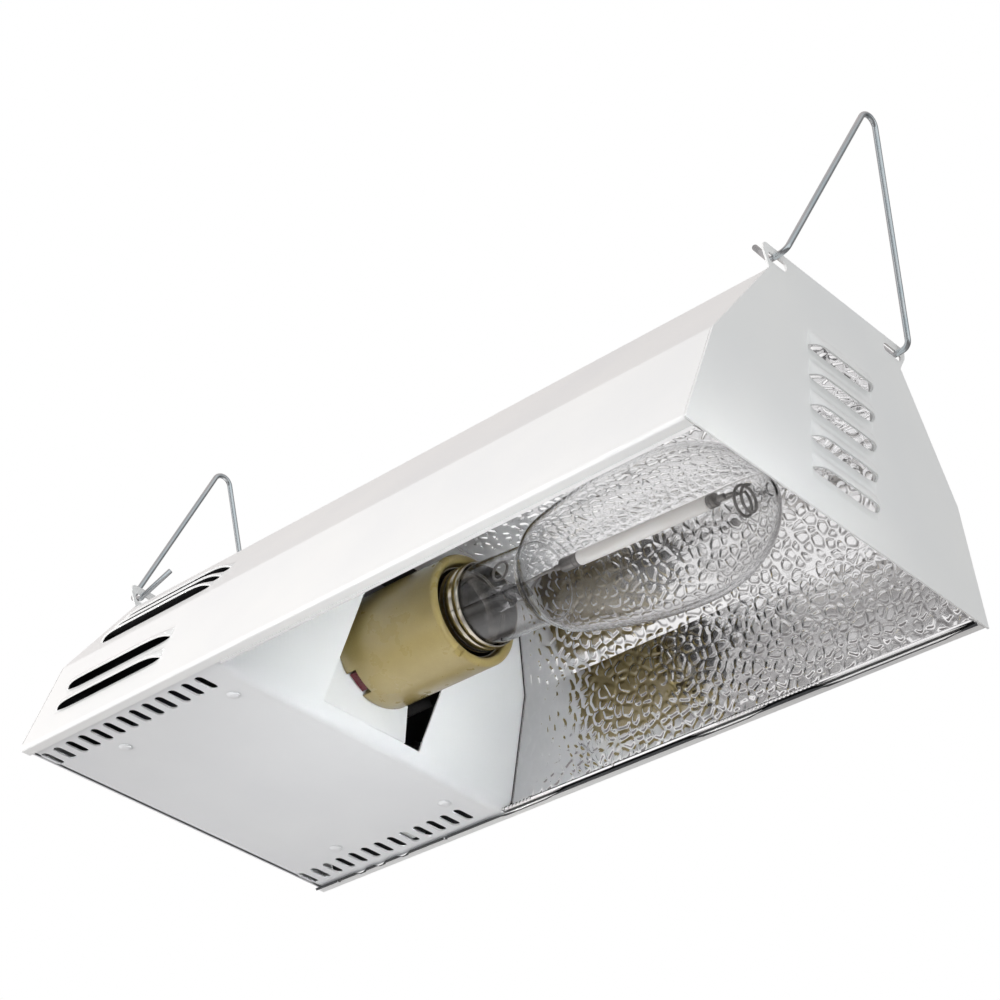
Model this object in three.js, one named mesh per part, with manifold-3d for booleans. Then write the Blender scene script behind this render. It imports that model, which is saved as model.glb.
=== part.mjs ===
// Hanging grow lamp: a folded white steel housing that holds its own ballast at one end and, at the
// other, a hammered aluminium reflector with a screw-in discharge lamp. It hangs on two wire hangers.
// Millimetres. X runs along the housing from the ballast end to the lamp end, Z is up, and the open
// underside of the housing lies at z = 0. At the end the whole group is centred in X and Y.
import * as THREE from "three";
import { mergeVertices } from "three/addons/utils/BufferGeometryUtils.js";
import Module from "manifold-3d";

const wasm = await Module();
wasm.setup();

const GAP = 0.3; // air between pieces that touch on the real lamp

// Housing cross-section: flared walls, sloping shoulders and a flat top.
const HALF_LENGTH = 224.5;
const RIM_HALF_WIDTH = 108;
const BEND_HALF_WIDTH = 89.5;
const BEND_HEIGHT = 58;
const TOP_HALF_WIDTH = 50.5;
const TOP_HEIGHT = 114.7;
const LIP_WIDTH = 7;
const SHEET = 1;

// End plates, each with a raised strip along its top that the hangers hook into.
const STRIP_TOP = 129.2;
const STRIP_HALF_WIDTH = 53.6;
const STRIP_WAIST = 49.4;
const FLANGE_DEPTH = 10;
const FLANGE_SHEET = 0.8;
const BALLAST_PLATE_BOTTOM = 5;

// Hangers: a V of wire whose two feet pass through slots in the end plate's strip.
const WIRE_RADIUS = 1.5;
const HANGER_POINT = 111.6;
const HANGER_TIP_RADIUS = 6;
const HANGER_HALF_SPREAD = 46.4;
const HANGER_LEG_OFFSET = 8.2;
const CROOK_RADIUS = 3;
const CROOK_OUTER_SLOPE = 15;
const CROOK_INNER_SLOPE = 50;
const STUB_REACH = 16.3;
const STUB_RISE = 12.4;
const STUB_TOE_IN = 5.4;
const PIVOT_HEIGHT = 126;
const LAMP_HANGER_LEAN = 9.2;
const BALLAST_HANGER_LEAN = -4.4;
const SLOT_TOP_DROP = 1.05;
const SLOT_BOTTOM_DROP = 5.8;
const SLOT_INNER = 36.5;
const SLOT_OUTER = 50.3;

// Louvres: a slot under a hood that opens downwards.
const WALL_LOUVRE_LENGTH = 82;
const WALL_LOUVRE_MIDDLE = -162;
const WALL_LOUVRE_HEIGHTS = [20.5, 35];
const SHOULDER_LOUVRE_LENGTH = 88;
const SHOULDER_LOUVRE_MIDDLE = -160;
const SHOULDER_LOUVRE_HEIGHTS = [70.5, 79, 87.5];
const WALL_LOUVRE_RISE = 7;
const WALL_LOUVRE_PROUD = 4.2;
const SHOULDER_LOUVRE_RISE = 6;
const PLATE_LOUVRES = 5;
const PLATE_LOUVRE_LENGTH = 46;
const PLATE_LOUVRE_RISE = 9;
const PLATE_LOUVRE_PROUD = 4.8;
const PLATE_LOUVRE_LOWEST = 20.5;
const PLATE_LOUVRE_PITCH = 16.8;

// Ballast cover: a pan over the ballast bay, the leaning partition, and a tab for the lampholder.
const PAN_LEVEL = SHEET + GAP;
const PAN_END = -223;
const PAN_END_FLANGE = 12;
const PARTITION_FOOT = -76.7;
const PARTITION_LEAN = THREE.MathUtils.degToRad(24);
const PARTITION_TOP = 111;
const PARTITION_BEND = 9;
const VENT_SLOTS = 13;
const VENT_PITCH = 10.175;
const VENT_FIRST = -218.6;
const VENT_Y = 90;
const VENT_LENGTH = 13.8;
const VENT_WIDTH = 5.2;
const OPENING_NEAR = -34;
const OPENING_FAR = 33.5;
const OPENING_BOTTOM = 7.5;
const OPENING_TOP = 84;
const TAB_NEAR = -33.5;
const TAB_FAR = 23.2;
const TAB_TOP = 92;
const TAB_FACE = -73.3;

// Reflector: hammered sheet that lines the lamp bay. Its top hangs below the top of the housing.
const REFLECTOR_OFFSET = 2.4;
const REFLECTOR_SHEET = 0.6;
const REFLECTOR_TOP = 103.4;
const REFLECTOR_END = 221.8;
const REFLECTOR_FLANGE_EDGE = 98;

// Lampholder and lamp. The lamp droops a little in its holder.
const LAMP_HEIGHT = 50;
const HOLDER_RADIUS = 30;
const HOLDER_FRONT = -3.5;
const HOLDER_BORE = 25;
const HOLDER_FLOOR = -54;
const HOLDER_SEGMENTS = 30;
const LAMP_DROOP = THREE.MathUtils.degToRad(3.4);
const NECK_RADIUS = 21;
const GLASS = 1.1;
const LAMP_SEGMENTS = 22;
const ARC_TUBE_Y = -2.3;
const ARC_TUBE_Z = 2.6;
const ARC_TUBE_CAP = 57;
const ARC_TUBE_TILT = THREE.MathUtils.degToRad(1.2);
const ARC_TUBE_START = 73;
const ARC_TUBE_END = 153;
const ARC_TUBE_RADIUS = 3.7;

// Ballast bay contents.
const CORE_MIDDLE = -136.5;
const CORE_WIDTH = 100;
const CORE_HEIGHT = 70;
const CORE_STACK = 50;
const CORE_BOTTOM = PAN_LEVEL + SHEET + GAP + 1.5 + GAP;
const OUTER_LEG = 16;
const CENTRE_LEG = 32;
const YOKE = 14;
const RAIL_HALF_LENGTH = 80;
const RAIL_WIDTH = 11;
const RAIL_SHEET = 1.5;
const BOLT_RADIUS = 2.5;
const RIVET_Y = 74;
const LEAD_RADIUS = 1.3;

const X_AXIS = new THREE.Vector3(1, 0, 0);
const Y_AXIS = new THREE.Vector3(0, 1, 0);
const Z_AXIS = new THREE.Vector3(0, 0, 1);

// ---------------------------------------------------------------- shapes

// The manifold solid of a closed geometry.
function solid(geometry) {
  const bare = geometry.clone();
  bare.deleteAttribute("normal");
  bare.deleteAttribute("uv");
  const merged = mergeVertices(bare, 1e-4);
  const mesh = new wasm.Mesh({
    numProp: 3,
    vertProperties: new Float32Array(merged.attributes.position.array),
    triVerts: new Uint32Array(merged.index.array),
  });
  return new wasm.Manifold(mesh);
}

// The three.js geometry of a manifold solid.
function geometryOf(body) {
  const mesh = body.getMesh();
  const indexed = new THREE.BufferGeometry();
  indexed.setAttribute("position", new THREE.BufferAttribute(mesh.vertProperties, 3));
  indexed.setIndex(new THREE.BufferAttribute(mesh.triVerts, 1));
  const flat = indexed.toNonIndexed();
  flat.computeVertexNormals();
  return flat;
}

function shapeOf(points) {
  return new THREE.Shape(points.map(([a, b]) => new THREE.Vector2(a, b)));
}

// Prism along X from a (y, z) outline.
function prismX(points, x0, x1) {
  const geometry = new THREE.ExtrudeGeometry(shapeOf(points), { depth: x1 - x0, bevelEnabled: false });
  geometry.applyMatrix4(new THREE.Matrix4().makeBasis(Y_AXIS, Z_AXIS, X_AXIS));
  return geometry.translate(x0, 0, 0);
}

// Prism along Y from an (x, z) outline.
function prismY(points, y0, y1) {
  const geometry = new THREE.ExtrudeGeometry(shapeOf(points), { depth: y1 - y0, bevelEnabled: false });
  geometry.applyMatrix4(new THREE.Matrix4().makeBasis(X_AXIS, Z_AXIS, Y_AXIS.clone().negate()));
  return geometry.translate(0, y1, 0);
}

function box(x0, x1, y0, y1, z0, z1) {
  const geometry = new THREE.BoxGeometry(x1 - x0, y1 - y0, z1 - z0);
  return geometry.translate((x0 + x1) / 2, (y0 + y1) / 2, (z0 + z1) / 2);
}

// Body of revolution about X from [x, radius] points.
function turnedX(points, segments) {
  const profile = points.map(([x, r]) => new THREE.Vector2(r, x));
  const geometry = new THREE.LatheGeometry(profile, segments);
  return geometry.applyMatrix4(new THREE.Matrix4().makeBasis(Y_AXIS, X_AXIS, Z_AXIS.clone().negate()));
}

// Body of revolution about Y from [y, radius] points.
function turnedY(points, segments) {
  return new THREE.LatheGeometry(points.map(([y, r]) => new THREE.Vector2(r, y)), segments);
}

// Body of revolution about Z from [z, radius] points.
function turnedZ(points, segments) {
  const geometry = new THREE.LatheGeometry(points.map(([z, r]) => new THREE.Vector2(r, z)), segments);
  return geometry.rotateX(Math.PI / 2);
}

// The line that runs beside an open path at a distance to its left, with mitred corners.
function beside(path, distance) {
  return path.map((point, i) => {
    const here = new THREE.Vector2(...point);
    const before = path[Math.max(i - 1, 0)];
    const after = path[Math.min(i + 1, path.length - 1)];
    const into = here.clone().sub(new THREE.Vector2(...before)).normalize();
    const out = new THREE.Vector2(...after).sub(here).normalize();
    const first = i === 0 ? out : into;
    const last = i === path.length - 1 ? into : out;
    const left = new THREE.Vector2(-first.y - last.y, first.x + last.x).normalize();
    const mitre = distance / (left.x * -first.y + left.y * first.x);
    return [here.x + left.x * mitre, here.y + left.y * mitre];
  });
}

// Outline of bent sheet: the path, and the same path moved to its left by the thickness.
function sheetOutline(path, thickness, offset = 0) {
  return [...beside(path, offset), ...beside(path, offset + thickness).reverse()];
}

// A path through given points, used for wire and leads: one section at each point.
class WirePath extends THREE.Curve {
  constructor(points) {
    super();
    this.points = points.map((p) => (p.isVector3 ? p : new THREE.Vector3(...p)));
  }
  getPoint(t, target = new THREE.Vector3()) {
    const place = Math.min(t, 1) * (this.points.length - 1);
    const index = Math.min(Math.floor(place + 1e-9), this.points.length - 2);
    return target.lerpVectors(this.points[index], this.points[index + 1], place - index);
  }
  getPointAt(u, target) {
    return this.getPoint(u, target);
  }
  getTangentAt(u, target = new THREE.Vector3()) {
    const last = this.points.length - 1;
    const index = Math.round(u * last);
    const before = this.points[Math.max(index - 1, 0)];
    const here = this.points[index];
    const after = this.points[Math.min(index + 1, last)];
    const into = here.clone().sub(before).normalize();
    const out = after.clone().sub(here).normalize();
    return target.addVectors(into, out).normalize();
  }
}

// A round wire with one section at each point of its path.
function wire(points, radius, sides = 8) {
  const section = new THREE.Shape();
  for (let k = 0; k < sides; k++) {
    const angle = (2 * Math.PI * k) / sides;
    const method = k ? "lineTo" : "moveTo";
    section[method](radius * Math.cos(angle), radius * Math.sin(angle));
  }
  const path = new WirePath(points);
  return new THREE.ExtrudeGeometry(section, { steps: path.points.length - 1, extrudePath: path });
}

// Points of an insulated lead: a smooth curve through a few points of its route.
function route(...points) {
  const curve = new THREE.CatmullRomCurve3(points.map((p) => new THREE.Vector3(...p)), false, "centripetal");
  const steps = Math.ceil(curve.getLength() / (6 * LEAD_RADIUS));
  return curve.getSpacedPoints(steps);
}

// A path with its corners rounded to a radius, in any number of dimensions.
function rounded(points, radius, pieces = 4) {
  const out = [points[0]];
  for (let i = 1; i < points.length - 1; i++) {
    const into = points[i - 1].clone().sub(points[i]);
    const away = points[i + 1].clone().sub(points[i]);
    const turn = Math.PI - into.angleTo(away);
    const back = Math.min(radius * Math.tan(turn / 2), into.length() / 2.1, away.length() / 2.1);
    const start = points[i].clone().add(into.setLength(back));
    const end = points[i].clone().add(away.setLength(back));
    const bend = new THREE.QuadraticBezierCurve3(start, points[i], end);
    out.push(...bend.getPoints(pieces));
  }
  out.push(points[points.length - 1]);
  return out;
}

// ---------------------------------------------------------------- housing

// Outside of the housing from one lip round over the top to the other, clockwise in (y, z),
// so that "beside" with a negative distance runs inside it.
const WALL_PATH = [
  [-RIM_HALF_WIDTH, 0],
  [-BEND_HALF_WIDTH, BEND_HEIGHT],
  [-TOP_HALF_WIDTH, TOP_HEIGHT],
  [TOP_HALF_WIDTH, TOP_HEIGHT],
  [BEND_HALF_WIDTH, BEND_HEIGHT],
  [RIM_HALF_WIDTH, 0],
];
const SHELL_PATH = [
  [-RIM_HALF_WIDTH + LIP_WIDTH, 0],
  ...WALL_PATH,
  [RIM_HALF_WIDTH - LIP_WIDTH, 0],
];

// One louvre in (u along its length, v up the sheet, w outwards): the hood to add and the slot to cut.
function louvreBodies(length, rise, proud) {
  const hood = [
    [0, -0.5],
    [rise, -0.5],
    [rise, 0],
    [0, proud],
  ];
  const inside = rise - SHEET * (rise / proud);
  const slot = [
    [-1, 0.02],
    [0, 0.02],
    [0, -3],
    [inside, -3],
    [inside, 0.02],
    [0, proud - SHEET],
    [-1, proud - SHEET],
  ];
  const half = length / 2;
  return { add: solid(prismX(hood, -half, half)), cut: solid(prismX(slot, SHEET - half, half - SHEET)) };
}

// Puts louvres into a sheet. Each place has an origin and the directions along, up and out.
function withLouvres(sheet, places, length, rise, proud) {
  const { add, cut } = louvreBodies(length, rise, proud);
  let body = sheet;
  for (const { origin, along, up, out } of places) {
    const matrix = new THREE.Matrix4().makeBasis(along, up, out).setPosition(origin).toArray();
    body = body.add(add.transform(matrix)).subtract(cut.transform(matrix));
  }
  return body;
}

// Places of the louvres on one sloping face of the housing, on the side +1 or -1 of the middle plane.
function facePlaces(side, lower, upper, heights, middle) {
  const up = new THREE.Vector3(0, side * (upper[0] - lower[0]), upper[1] - lower[1]).normalize();
  const along = new THREE.Vector3(side * -1, 0, 0);
  const out = new THREE.Vector3().crossVectors(along, up);
  return heights.map((z) => {
    const share = (z - lower[1]) / (upper[1] - lower[1]);
    const y = side * THREE.MathUtils.lerp(lower[0], upper[0], share);
    return { origin: new THREE.Vector3(middle, y, z), along, up, out };
  });
}

function housingShell() {
  const outline = sheetOutline(SHELL_PATH, -SHEET);
  let body = solid(prismX(outline, -HALF_LENGTH + SHEET + GAP, HALF_LENGTH - SHEET - GAP));
  const rim = [RIM_HALF_WIDTH, 0];
  const bend = [BEND_HALF_WIDTH, BEND_HEIGHT];
  const top = [TOP_HALF_WIDTH, TOP_HEIGHT];
  for (const side of [-1, 1]) {
    const wall = facePlaces(side, rim, bend, WALL_LOUVRE_HEIGHTS, WALL_LOUVRE_MIDDLE);
    body = withLouvres(body, wall, WALL_LOUVRE_LENGTH, WALL_LOUVRE_RISE, WALL_LOUVRE_PROUD);
    const shoulder = facePlaces(side, bend, top, SHOULDER_LOUVRE_HEIGHTS, SHOULDER_LOUVRE_MIDDLE);
    body = withLouvres(body, shoulder, SHOULDER_LOUVRE_LENGTH, SHOULDER_LOUVRE_RISE, WALL_LOUVRE_PROUD);
  }
  return body;
}

// ---------------------------------------------------------------- end plates

// Half outline of an end plate on the +Y side, from its bottom edge up to the middle of the strip.
function plateHalf(bottom) {
  return [
    [onWall(WALL_PATH[5], WALL_PATH[4], bottom), bottom],
    [BEND_HALF_WIDTH, BEND_HEIGHT],
    [TOP_HALF_WIDTH, TOP_HEIGHT],
    [STRIP_WAIST, TOP_HEIGHT + 1.2],
    [TOP_HALF_WIDTH, TOP_HEIGHT + 3.8],
    [STRIP_HALF_WIDTH - 0.4, STRIP_TOP - 5.6],
    [STRIP_HALF_WIDTH, STRIP_TOP - 3.6],
    [STRIP_HALF_WIDTH - 1, STRIP_TOP - 1],
    [STRIP_HALF_WIDTH - 3.4, STRIP_TOP],
  ];
}

// Flat stadium slot in (a, b), as an outline.
function stadium(a0, a1, b0, b1, pieces = 5) {
  const radius = (b1 - b0) / 2;
  const middle = (b0 + b1) / 2;
  const points = [];
  for (const [centre, start] of [[a1 - radius, -Math.PI / 2], [a0 + radius, Math.PI / 2]])
    for (let k = 0; k <= pieces; k++) {
      const angle = start + (Math.PI * k) / pieces;
      points.push([centre + radius * Math.cos(angle), middle + radius * Math.sin(angle)]);
    }
  return points;
}

// End plate with its strip, hanger slots and side flanges, as made for the +X end.
function endPlate(bottom) {
  const half = plateHalf(bottom);
  const outline = [...half, ...half.map(([y, z]) => [-y, z]).reverse()];
  const inner = HALF_LENGTH - SHEET;
  let body = solid(prismX(outline, inner, HALF_LENGTH));
  const slot = stadium(SLOT_INNER, SLOT_OUTER, PIVOT_HEIGHT - SLOT_BOTTOM_DROP, PIVOT_HEIGHT - SLOT_TOP_DROP);
  for (const side of [-1, 1]) {
    const outlineHere = slot.map(([y, z]) => [side * y, z]);
    body = body.subtract(solid(prismX(side > 0 ? outlineHere : outlineHere.reverse(), inner - 1, HALF_LENGTH + 1)));
  }
  const strips = sheetOutline(WALL_PATH, -FLANGE_SHEET, -(SHEET + GAP));
  let flanges = solid(prismX(strips, inner - FLANGE_DEPTH, inner + 0.5));
  flanges = flanges.subtract(solid(box(0, HALF_LENGTH + 9, -RIM_HALF_WIDTH, RIM_HALF_WIDTH, -9, BALLAST_PLATE_BOTTOM)));
  for (const side of [-1, 1]) {
    const y0 = side > 0 ? BEND_HALF_WIDTH - 8 : -BEND_HALF_WIDTH - 8;
    const relief = box(0, inner - GAP, y0, y0 + 16, BEND_HEIGHT - 3, BEND_HEIGHT + 3);
    flanges = flanges.subtract(solid(relief));
  }
  const top = box(0, inner - GAP, -TOP_HALF_WIDTH, TOP_HALF_WIDTH, TOP_HEIGHT - 8, TOP_HEIGHT + 1);
  return body.add(flanges.subtract(solid(top)));
}

function lampEndPlate() {
  const places = [];
  for (let k = 0; k < PLATE_LOUVRES; k++) {
    const origin = new THREE.Vector3(HALF_LENGTH, 0, PLATE_LOUVRE_LOWEST + k * PLATE_LOUVRE_PITCH);
    places.push({ origin, along: Y_AXIS, up: Z_AXIS, out: X_AXIS });
  }
  return withLouvres(endPlate(0), places, PLATE_LOUVRE_LENGTH, PLATE_LOUVRE_RISE, PLATE_LOUVRE_PROUD);
}

const INLET_Y = 30;
const INLET_Z = 45;
const INLET_RADIUS = 11.1;
const GROUND_Y = -34;
const GROUND_Z = 26;

function ballastEndPlate() {
  const turned = new THREE.Matrix4().makeRotationZ(Math.PI).toArray();
  let body = endPlate(BALLAST_PLATE_BOTTOM).transform(turned);
  const inlet = turnedX([[-2, 0], [-2, INLET_RADIUS], [2, INLET_RADIUS], [2, 0]], 24);
  body = body.subtract(solid(inlet.translate(-HALF_LENGTH + SHEET / 2, INLET_Y, INLET_Z)));
  const ground = turnedX([[-2, 0], [-2, 2.4], [2, 2.4], [2, 0]], 12);
  return body.subtract(solid(ground.translate(-HALF_LENGTH + SHEET / 2, GROUND_Y, GROUND_Z)));
}

// ---------------------------------------------------------------- cover and reflector

// The y at which the line through two (y, z) points reaches a height.
function onWall(lower, upper, z) {
  return THREE.MathUtils.mapLinear(z, lower[1], upper[1], lower[0], upper[0]);
}

// Space inside the housing and its end flanges, along X.
function interior(offset, bottom, x0, x1) {
  const inside = beside(WALL_PATH, -offset);
  const foot = onWall(inside[0], inside[1], bottom);
  inside[0] = [foot, bottom];
  inside[inside.length - 1] = [-foot, bottom];
  return prismX(inside, x0, x1);
}

// Front face of the partition at a height.
function partitionX(z) {
  return PARTITION_FOOT + z * Math.tan(PARTITION_LEAN);
}

function ballastCover() {
  const corner = new THREE.Vector3(partitionX(PAN_LEVEL), PAN_LEVEL, 0);
  const bendPoints = rounded(
    [
      new THREE.Vector3(PAN_END + 30, PAN_LEVEL, 0),
      corner,
      new THREE.Vector3(partitionX(PARTITION_TOP), PARTITION_TOP, 0),
    ],
    PARTITION_BEND,
    6,
  );
  const path = [
    [PAN_END, PAN_END_FLANGE],
    [PAN_END, PAN_LEVEL],
    ...bendPoints.slice(1).map((p) => [p.x, p.y]),
  ];
  const outline = sheetOutline(path, SHEET);
  let body = solid(prismY(outline, -RIM_HALF_WIDTH, RIM_HALF_WIDTH));
  const space = interior(SHEET + GAP + FLANGE_SHEET + GAP, PAN_LEVEL - 0.01, -HALF_LENGTH, 0);
  body = body.intersect(solid(space));
  body = body.subtract(solid(box(-90, -20, OPENING_NEAR, OPENING_FAR, OPENING_BOTTOM, OPENING_TOP)));
  body = body.add(solid(box(TAB_FACE - SHEET, TAB_FACE, TAB_NEAR, TAB_FAR, OPENING_BOTTOM - 1, TAB_TOP)));
  for (let k = 0; k < VENT_SLOTS; k++) {
    const x = VENT_FIRST + k * VENT_PITCH;
    for (const side of [-1, 1]) {
      const y = side * VENT_Y;
      const slot = stadium(y - VENT_LENGTH / 2, y + VENT_LENGTH / 2, x - VENT_WIDTH / 2, x + VENT_WIDTH / 2, 4);
      const prism = new THREE.ExtrudeGeometry(shapeOf(slot.map(([a, b]) => [b, a]).reverse()), {
        depth: 6,
        bevelEnabled: false,
      });
      body = body.subtract(solid(prism.translate(0, 0, PAN_LEVEL - 2)));
    }
  }
  for (const hole of coverHoles()) body = body.subtract(solid(hole));
  return body;
}

// Lampholder screws go through the tab; its leads go through the tab's middle hole.
const HOLDER_SCREWS = [
  [12, LAMP_HEIGHT - 16],
  [-12, LAMP_HEIGHT + 16],
];
const LEAD_HOLE = 10;

function coverHoles() {
  const through = (radius, segments) => turnedX([[-3, 0], [-3, radius], [3, radius], [3, 0]], segments);
  const holes = HOLDER_SCREWS.map(([y, z]) => through(2.3, 10).translate(TAB_FACE, y, z));
  holes.push(through(LEAD_HOLE, 20).translate(TAB_FACE, 0, LAMP_HEIGHT));
  for (const [x, y] of rivetPlaces()) {
    const drilled = turnedZ([[-3, 0], [-3, 2.4], [3, 2.4], [3, 0]], 10);
    holes.push(drilled.translate(x, y, PAN_LEVEL));
  }
  return holes;
}

function reflector() {
  const lining = beside(WALL_PATH, -REFLECTOR_OFFSET);
  const brow = onWall(lining[1], lining[2], REFLECTOR_TOP);
  lining[2] = [brow, REFLECTOR_TOP];
  lining[3] = [-brow, REFLECTOR_TOP];
  const level = SHEET + GAP;
  const foot = onWall(lining[0], lining[1], level);
  const path = [
    [-REFLECTOR_FLANGE_EDGE, level],
    [foot, level],
    ...lining.slice(1, -1),
    [-foot, level],
    [REFLECTOR_FLANGE_EDGE, level],
  ];
  const body = solid(prismX(sheetOutline(path, -REFLECTOR_SHEET), -90, REFLECTOR_END));
  const clear = 0.6;
  const behind = [
    [-200, -20],
    [partitionX(-20) + clear, -20],
    [partitionX(140) + clear, 140],
    [-200, 140],
  ];
  return body.subtract(solid(prismY(behind, -RIM_HALF_WIDTH - 5, RIM_HALF_WIDTH + 5)));
}

// ---------------------------------------------------------------- hangers

// Half of a hanger in its own frame (x outwards from the end plate, z up from the pivot), from the
// inner end of the stub round the crook and up the leg.
function hangerHalf(side) {
  const foot = side * HANGER_HALF_SPREAD;
  const toe = side * (HANGER_HALF_SPREAD - STUB_TOE_IN);
  const points = [new THREE.Vector3(-STUB_REACH, toe, STUB_RISE)];
  const steps = 6;
  for (let k = 0; k <= steps; k++) {
    const swing = THREE.MathUtils.lerp(-CROOK_INNER_SLOPE, CROOK_OUTER_SLOPE, k / steps);
    const angle = THREE.MathUtils.degToRad(swing);
    points.push(new THREE.Vector3(CROOK_RADIUS * Math.sin(angle), foot, -CROOK_RADIUS * Math.cos(angle)));
  }
  const outer = THREE.MathUtils.degToRad(CROOK_OUTER_SLOPE);
  const tangent = points[points.length - 1];
  const run = HANGER_LEG_OFFSET - tangent.x;
  const heel = new THREE.Vector3(HANGER_LEG_OFFSET, foot, tangent.z + run * Math.tan(outer));
  const apex = new THREE.Vector3(HANGER_LEG_OFFSET, 0, HANGER_POINT);
  const bend = rounded([tangent, heel, apex], 4.5, 5);
  points.push(...bend.slice(1, -1));
  return points;
}

function hanger(end, lean) {
  const near = hangerHalf(-1);
  const far = hangerHalf(1).reverse();
  const apex = new THREE.Vector3(HANGER_LEG_OFFSET, 0, HANGER_POINT);
  const tip = rounded([near[near.length - 1], apex, far[0]], HANGER_TIP_RADIUS, 6);
  const points = [...near, ...tip.slice(1, -1), ...far];
  const geometry = wire(points, WIRE_RADIUS, 8);
  geometry.rotateY(THREE.MathUtils.degToRad(lean));
  if (end < 0) geometry.rotateZ(Math.PI);
  return geometry.translate(end * (HALF_LENGTH - SHEET / 2), 0, PIVOT_HEIGHT);
}

// ---------------------------------------------------------------- lampholder

// Direction, in (y, z), in which the lampholder's lead notch points.
const NOTCH_DIRECTION = Math.atan2(-25, -15);

function lampholderBody() {
  const back = TAB_FACE + GAP;
  const wall = HOLDER_RADIUS - HOLDER_BORE;
  const rim = [];
  for (let k = 0; k <= 6; k++) {
    const angle = (Math.PI * k) / 6;
    const x = HOLDER_FRONT - wall / 2 + (wall / 2) * Math.sin(angle);
    rim.push([x, HOLDER_BORE + wall / 2 + (wall / 2) * Math.cos(angle)]);
  }
  const profile = [
    [back, 0],
    [back, HOLDER_RADIUS - 1.5],
    [back + 1.5, HOLDER_RADIUS],
    ...rim,
    [HOLDER_FLOOR, HOLDER_BORE],
    [HOLDER_FLOOR, 0],
  ];
  let body = solid(turnedX(profile, HOLDER_SEGMENTS));
  const depth = 7;
  const recess = box(back - 1, back + depth, -14, 14, -9, 9);
  body = body.subtract(solid(recess));
  const notch = box(back - 1, back + depth, 0, HOLDER_RADIUS + 5, -7, 7);
  body = body.subtract(solid(notch.rotateX(NOTCH_DIRECTION)));
  const scallop = turnedX([[-4, 0], [-4, 7], [4, 7], [4, 0]], 16);
  for (const turn of [-0.7, -0.7 + Math.PI]) {
    const cut = scallop.clone().translate(back, HOLDER_RADIUS + 3, 0).rotateX(turn);
    body = body.subtract(solid(cut));
  }
  for (const [y, z] of HOLDER_SCREWS) {
    const hole = turnedX([[-1, 0], [-1, 2.3], [11, 2.3], [11, 0]], 10);
    body = body.subtract(solid(hole.translate(back, y, z - LAMP_HEIGHT)));
  }
  const stem = turnedX([[-20, 0], [-20, 3.4], [20, 3.4], [20, 0]], 12);
  body = body.subtract(solid(stem.translate(HOLDER_FLOOR, 0, 0)));
  return geometryOf(body).translate(0, 0, LAMP_HEIGHT);
}

// Insulating sleeve on the end of the red lead, which lies in the lampholder's notch.
function leadSleeve() {
  const start = TAB_FACE + GAP + 0.7;
  const sleeve = box(start, start + 5.4, 14.2, 27.6, -5.4, 5.4);
  return sleeve.rotateX(NOTCH_DIRECTION).translate(0, 0, LAMP_HEIGHT);
}

// Threaded metal shell inside the lampholder, shown without its thread.
function lampholderScrewShell() {
  const front = HOLDER_FRONT - 4.5;
  const profile = [
    [HOLDER_FLOOR + 3, 22],
    [HOLDER_FLOOR + 3, HOLDER_BORE - 1],
    [front - 2, HOLDER_BORE - 1],
    [front - 1, HOLDER_BORE - 0.6],
    [front, HOLDER_BORE - 1],
    [front, HOLDER_BORE - 1.8],
    [HOLDER_FLOOR + 3.8, HOLDER_BORE - 1.8],
    [HOLDER_FLOOR + 3.8, 22],
    [HOLDER_FLOOR + 3, 22],
  ];
  return turnedX(profile, HOLDER_SEGMENTS).translate(0, 0, LAMP_HEIGHT);
}

// Spring contact on the lampholder's floor, with its stud through the floor.
function lampholderContact() {
  const stud = solid(turnedX([[-9, 0], [-9, 3], [1, 3], [1, 0]], 12).translate(HOLDER_FLOOR, 0, 0));
  const leaf = sheetOutline(
    [
      [HOLDER_FLOOR + 0.6, -10],
      [HOLDER_FLOOR + 0.6, 0],
      [HOLDER_FLOOR + 4.6, 4],
      [HOLDER_FLOOR + 4.6, 6.5],
    ],
    -0.6,
  );
  const strip = solid(prismY(leaf, -5, 5));
  return geometryOf(stud.add(strip)).translate(0, 0, LAMP_HEIGHT);
}

function holderScrew(y, z) {
  const rear = TAB_FACE - SHEET - GAP;
  const profile = [
    [rear - 2.4, 0],
    [rear - 2.4, 2.6],
    [rear - 1.2, 4],
    [rear, 4],
    [rear, 2],
    [rear + 11, 2],
    [rear + 11, 0],
  ];
  return turnedX(profile, 12).translate(0, y, z);
}

// ---------------------------------------------------------------- lamp

// The lamp is modelled on its own axis, x = 0 at the lampholder's front, and placed by a group.

// Outside of the glass from the neck to the dome: a narrow neck, a sharp shoulder and a long bulge.
const BULB_PROFILE = [
  [0, NECK_RADIUS],
  [46, NECK_RADIUS],
  [50, NECK_RADIUS + 1.6],
  [54, NECK_RADIUS + 5.2],
  [60, NECK_RADIUS + 8.6],
  [70, 32.2],
  [84, 34.8],
  [100, 37],
  [116, 38.3],
  [130, 38.6],
  [142, 37.7],
  [153, 35.4],
  [163, 31.4],
  [172, 25.9],
  [179, 19.6],
  [184.5, 12.6],
  [187.8, 6.4],
  [189, 3.4],
];

function lampEnvelope() {
  const dimple = [
    [186.5, 2.2],
    [182.5, 2],
    [181.6, 0],
  ];
  const outside = [...BULB_PROFILE, ...dimple];
  const inside = beside(outside.slice(0, -1), -GLASS);
  inside[0][0] = 0;
  const close = [180.4, 0];
  const profile = [...outside, close, ...inside.reverse(), outside[0]];
  return turnedX(profile, LAMP_SEGMENTS);
}

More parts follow.
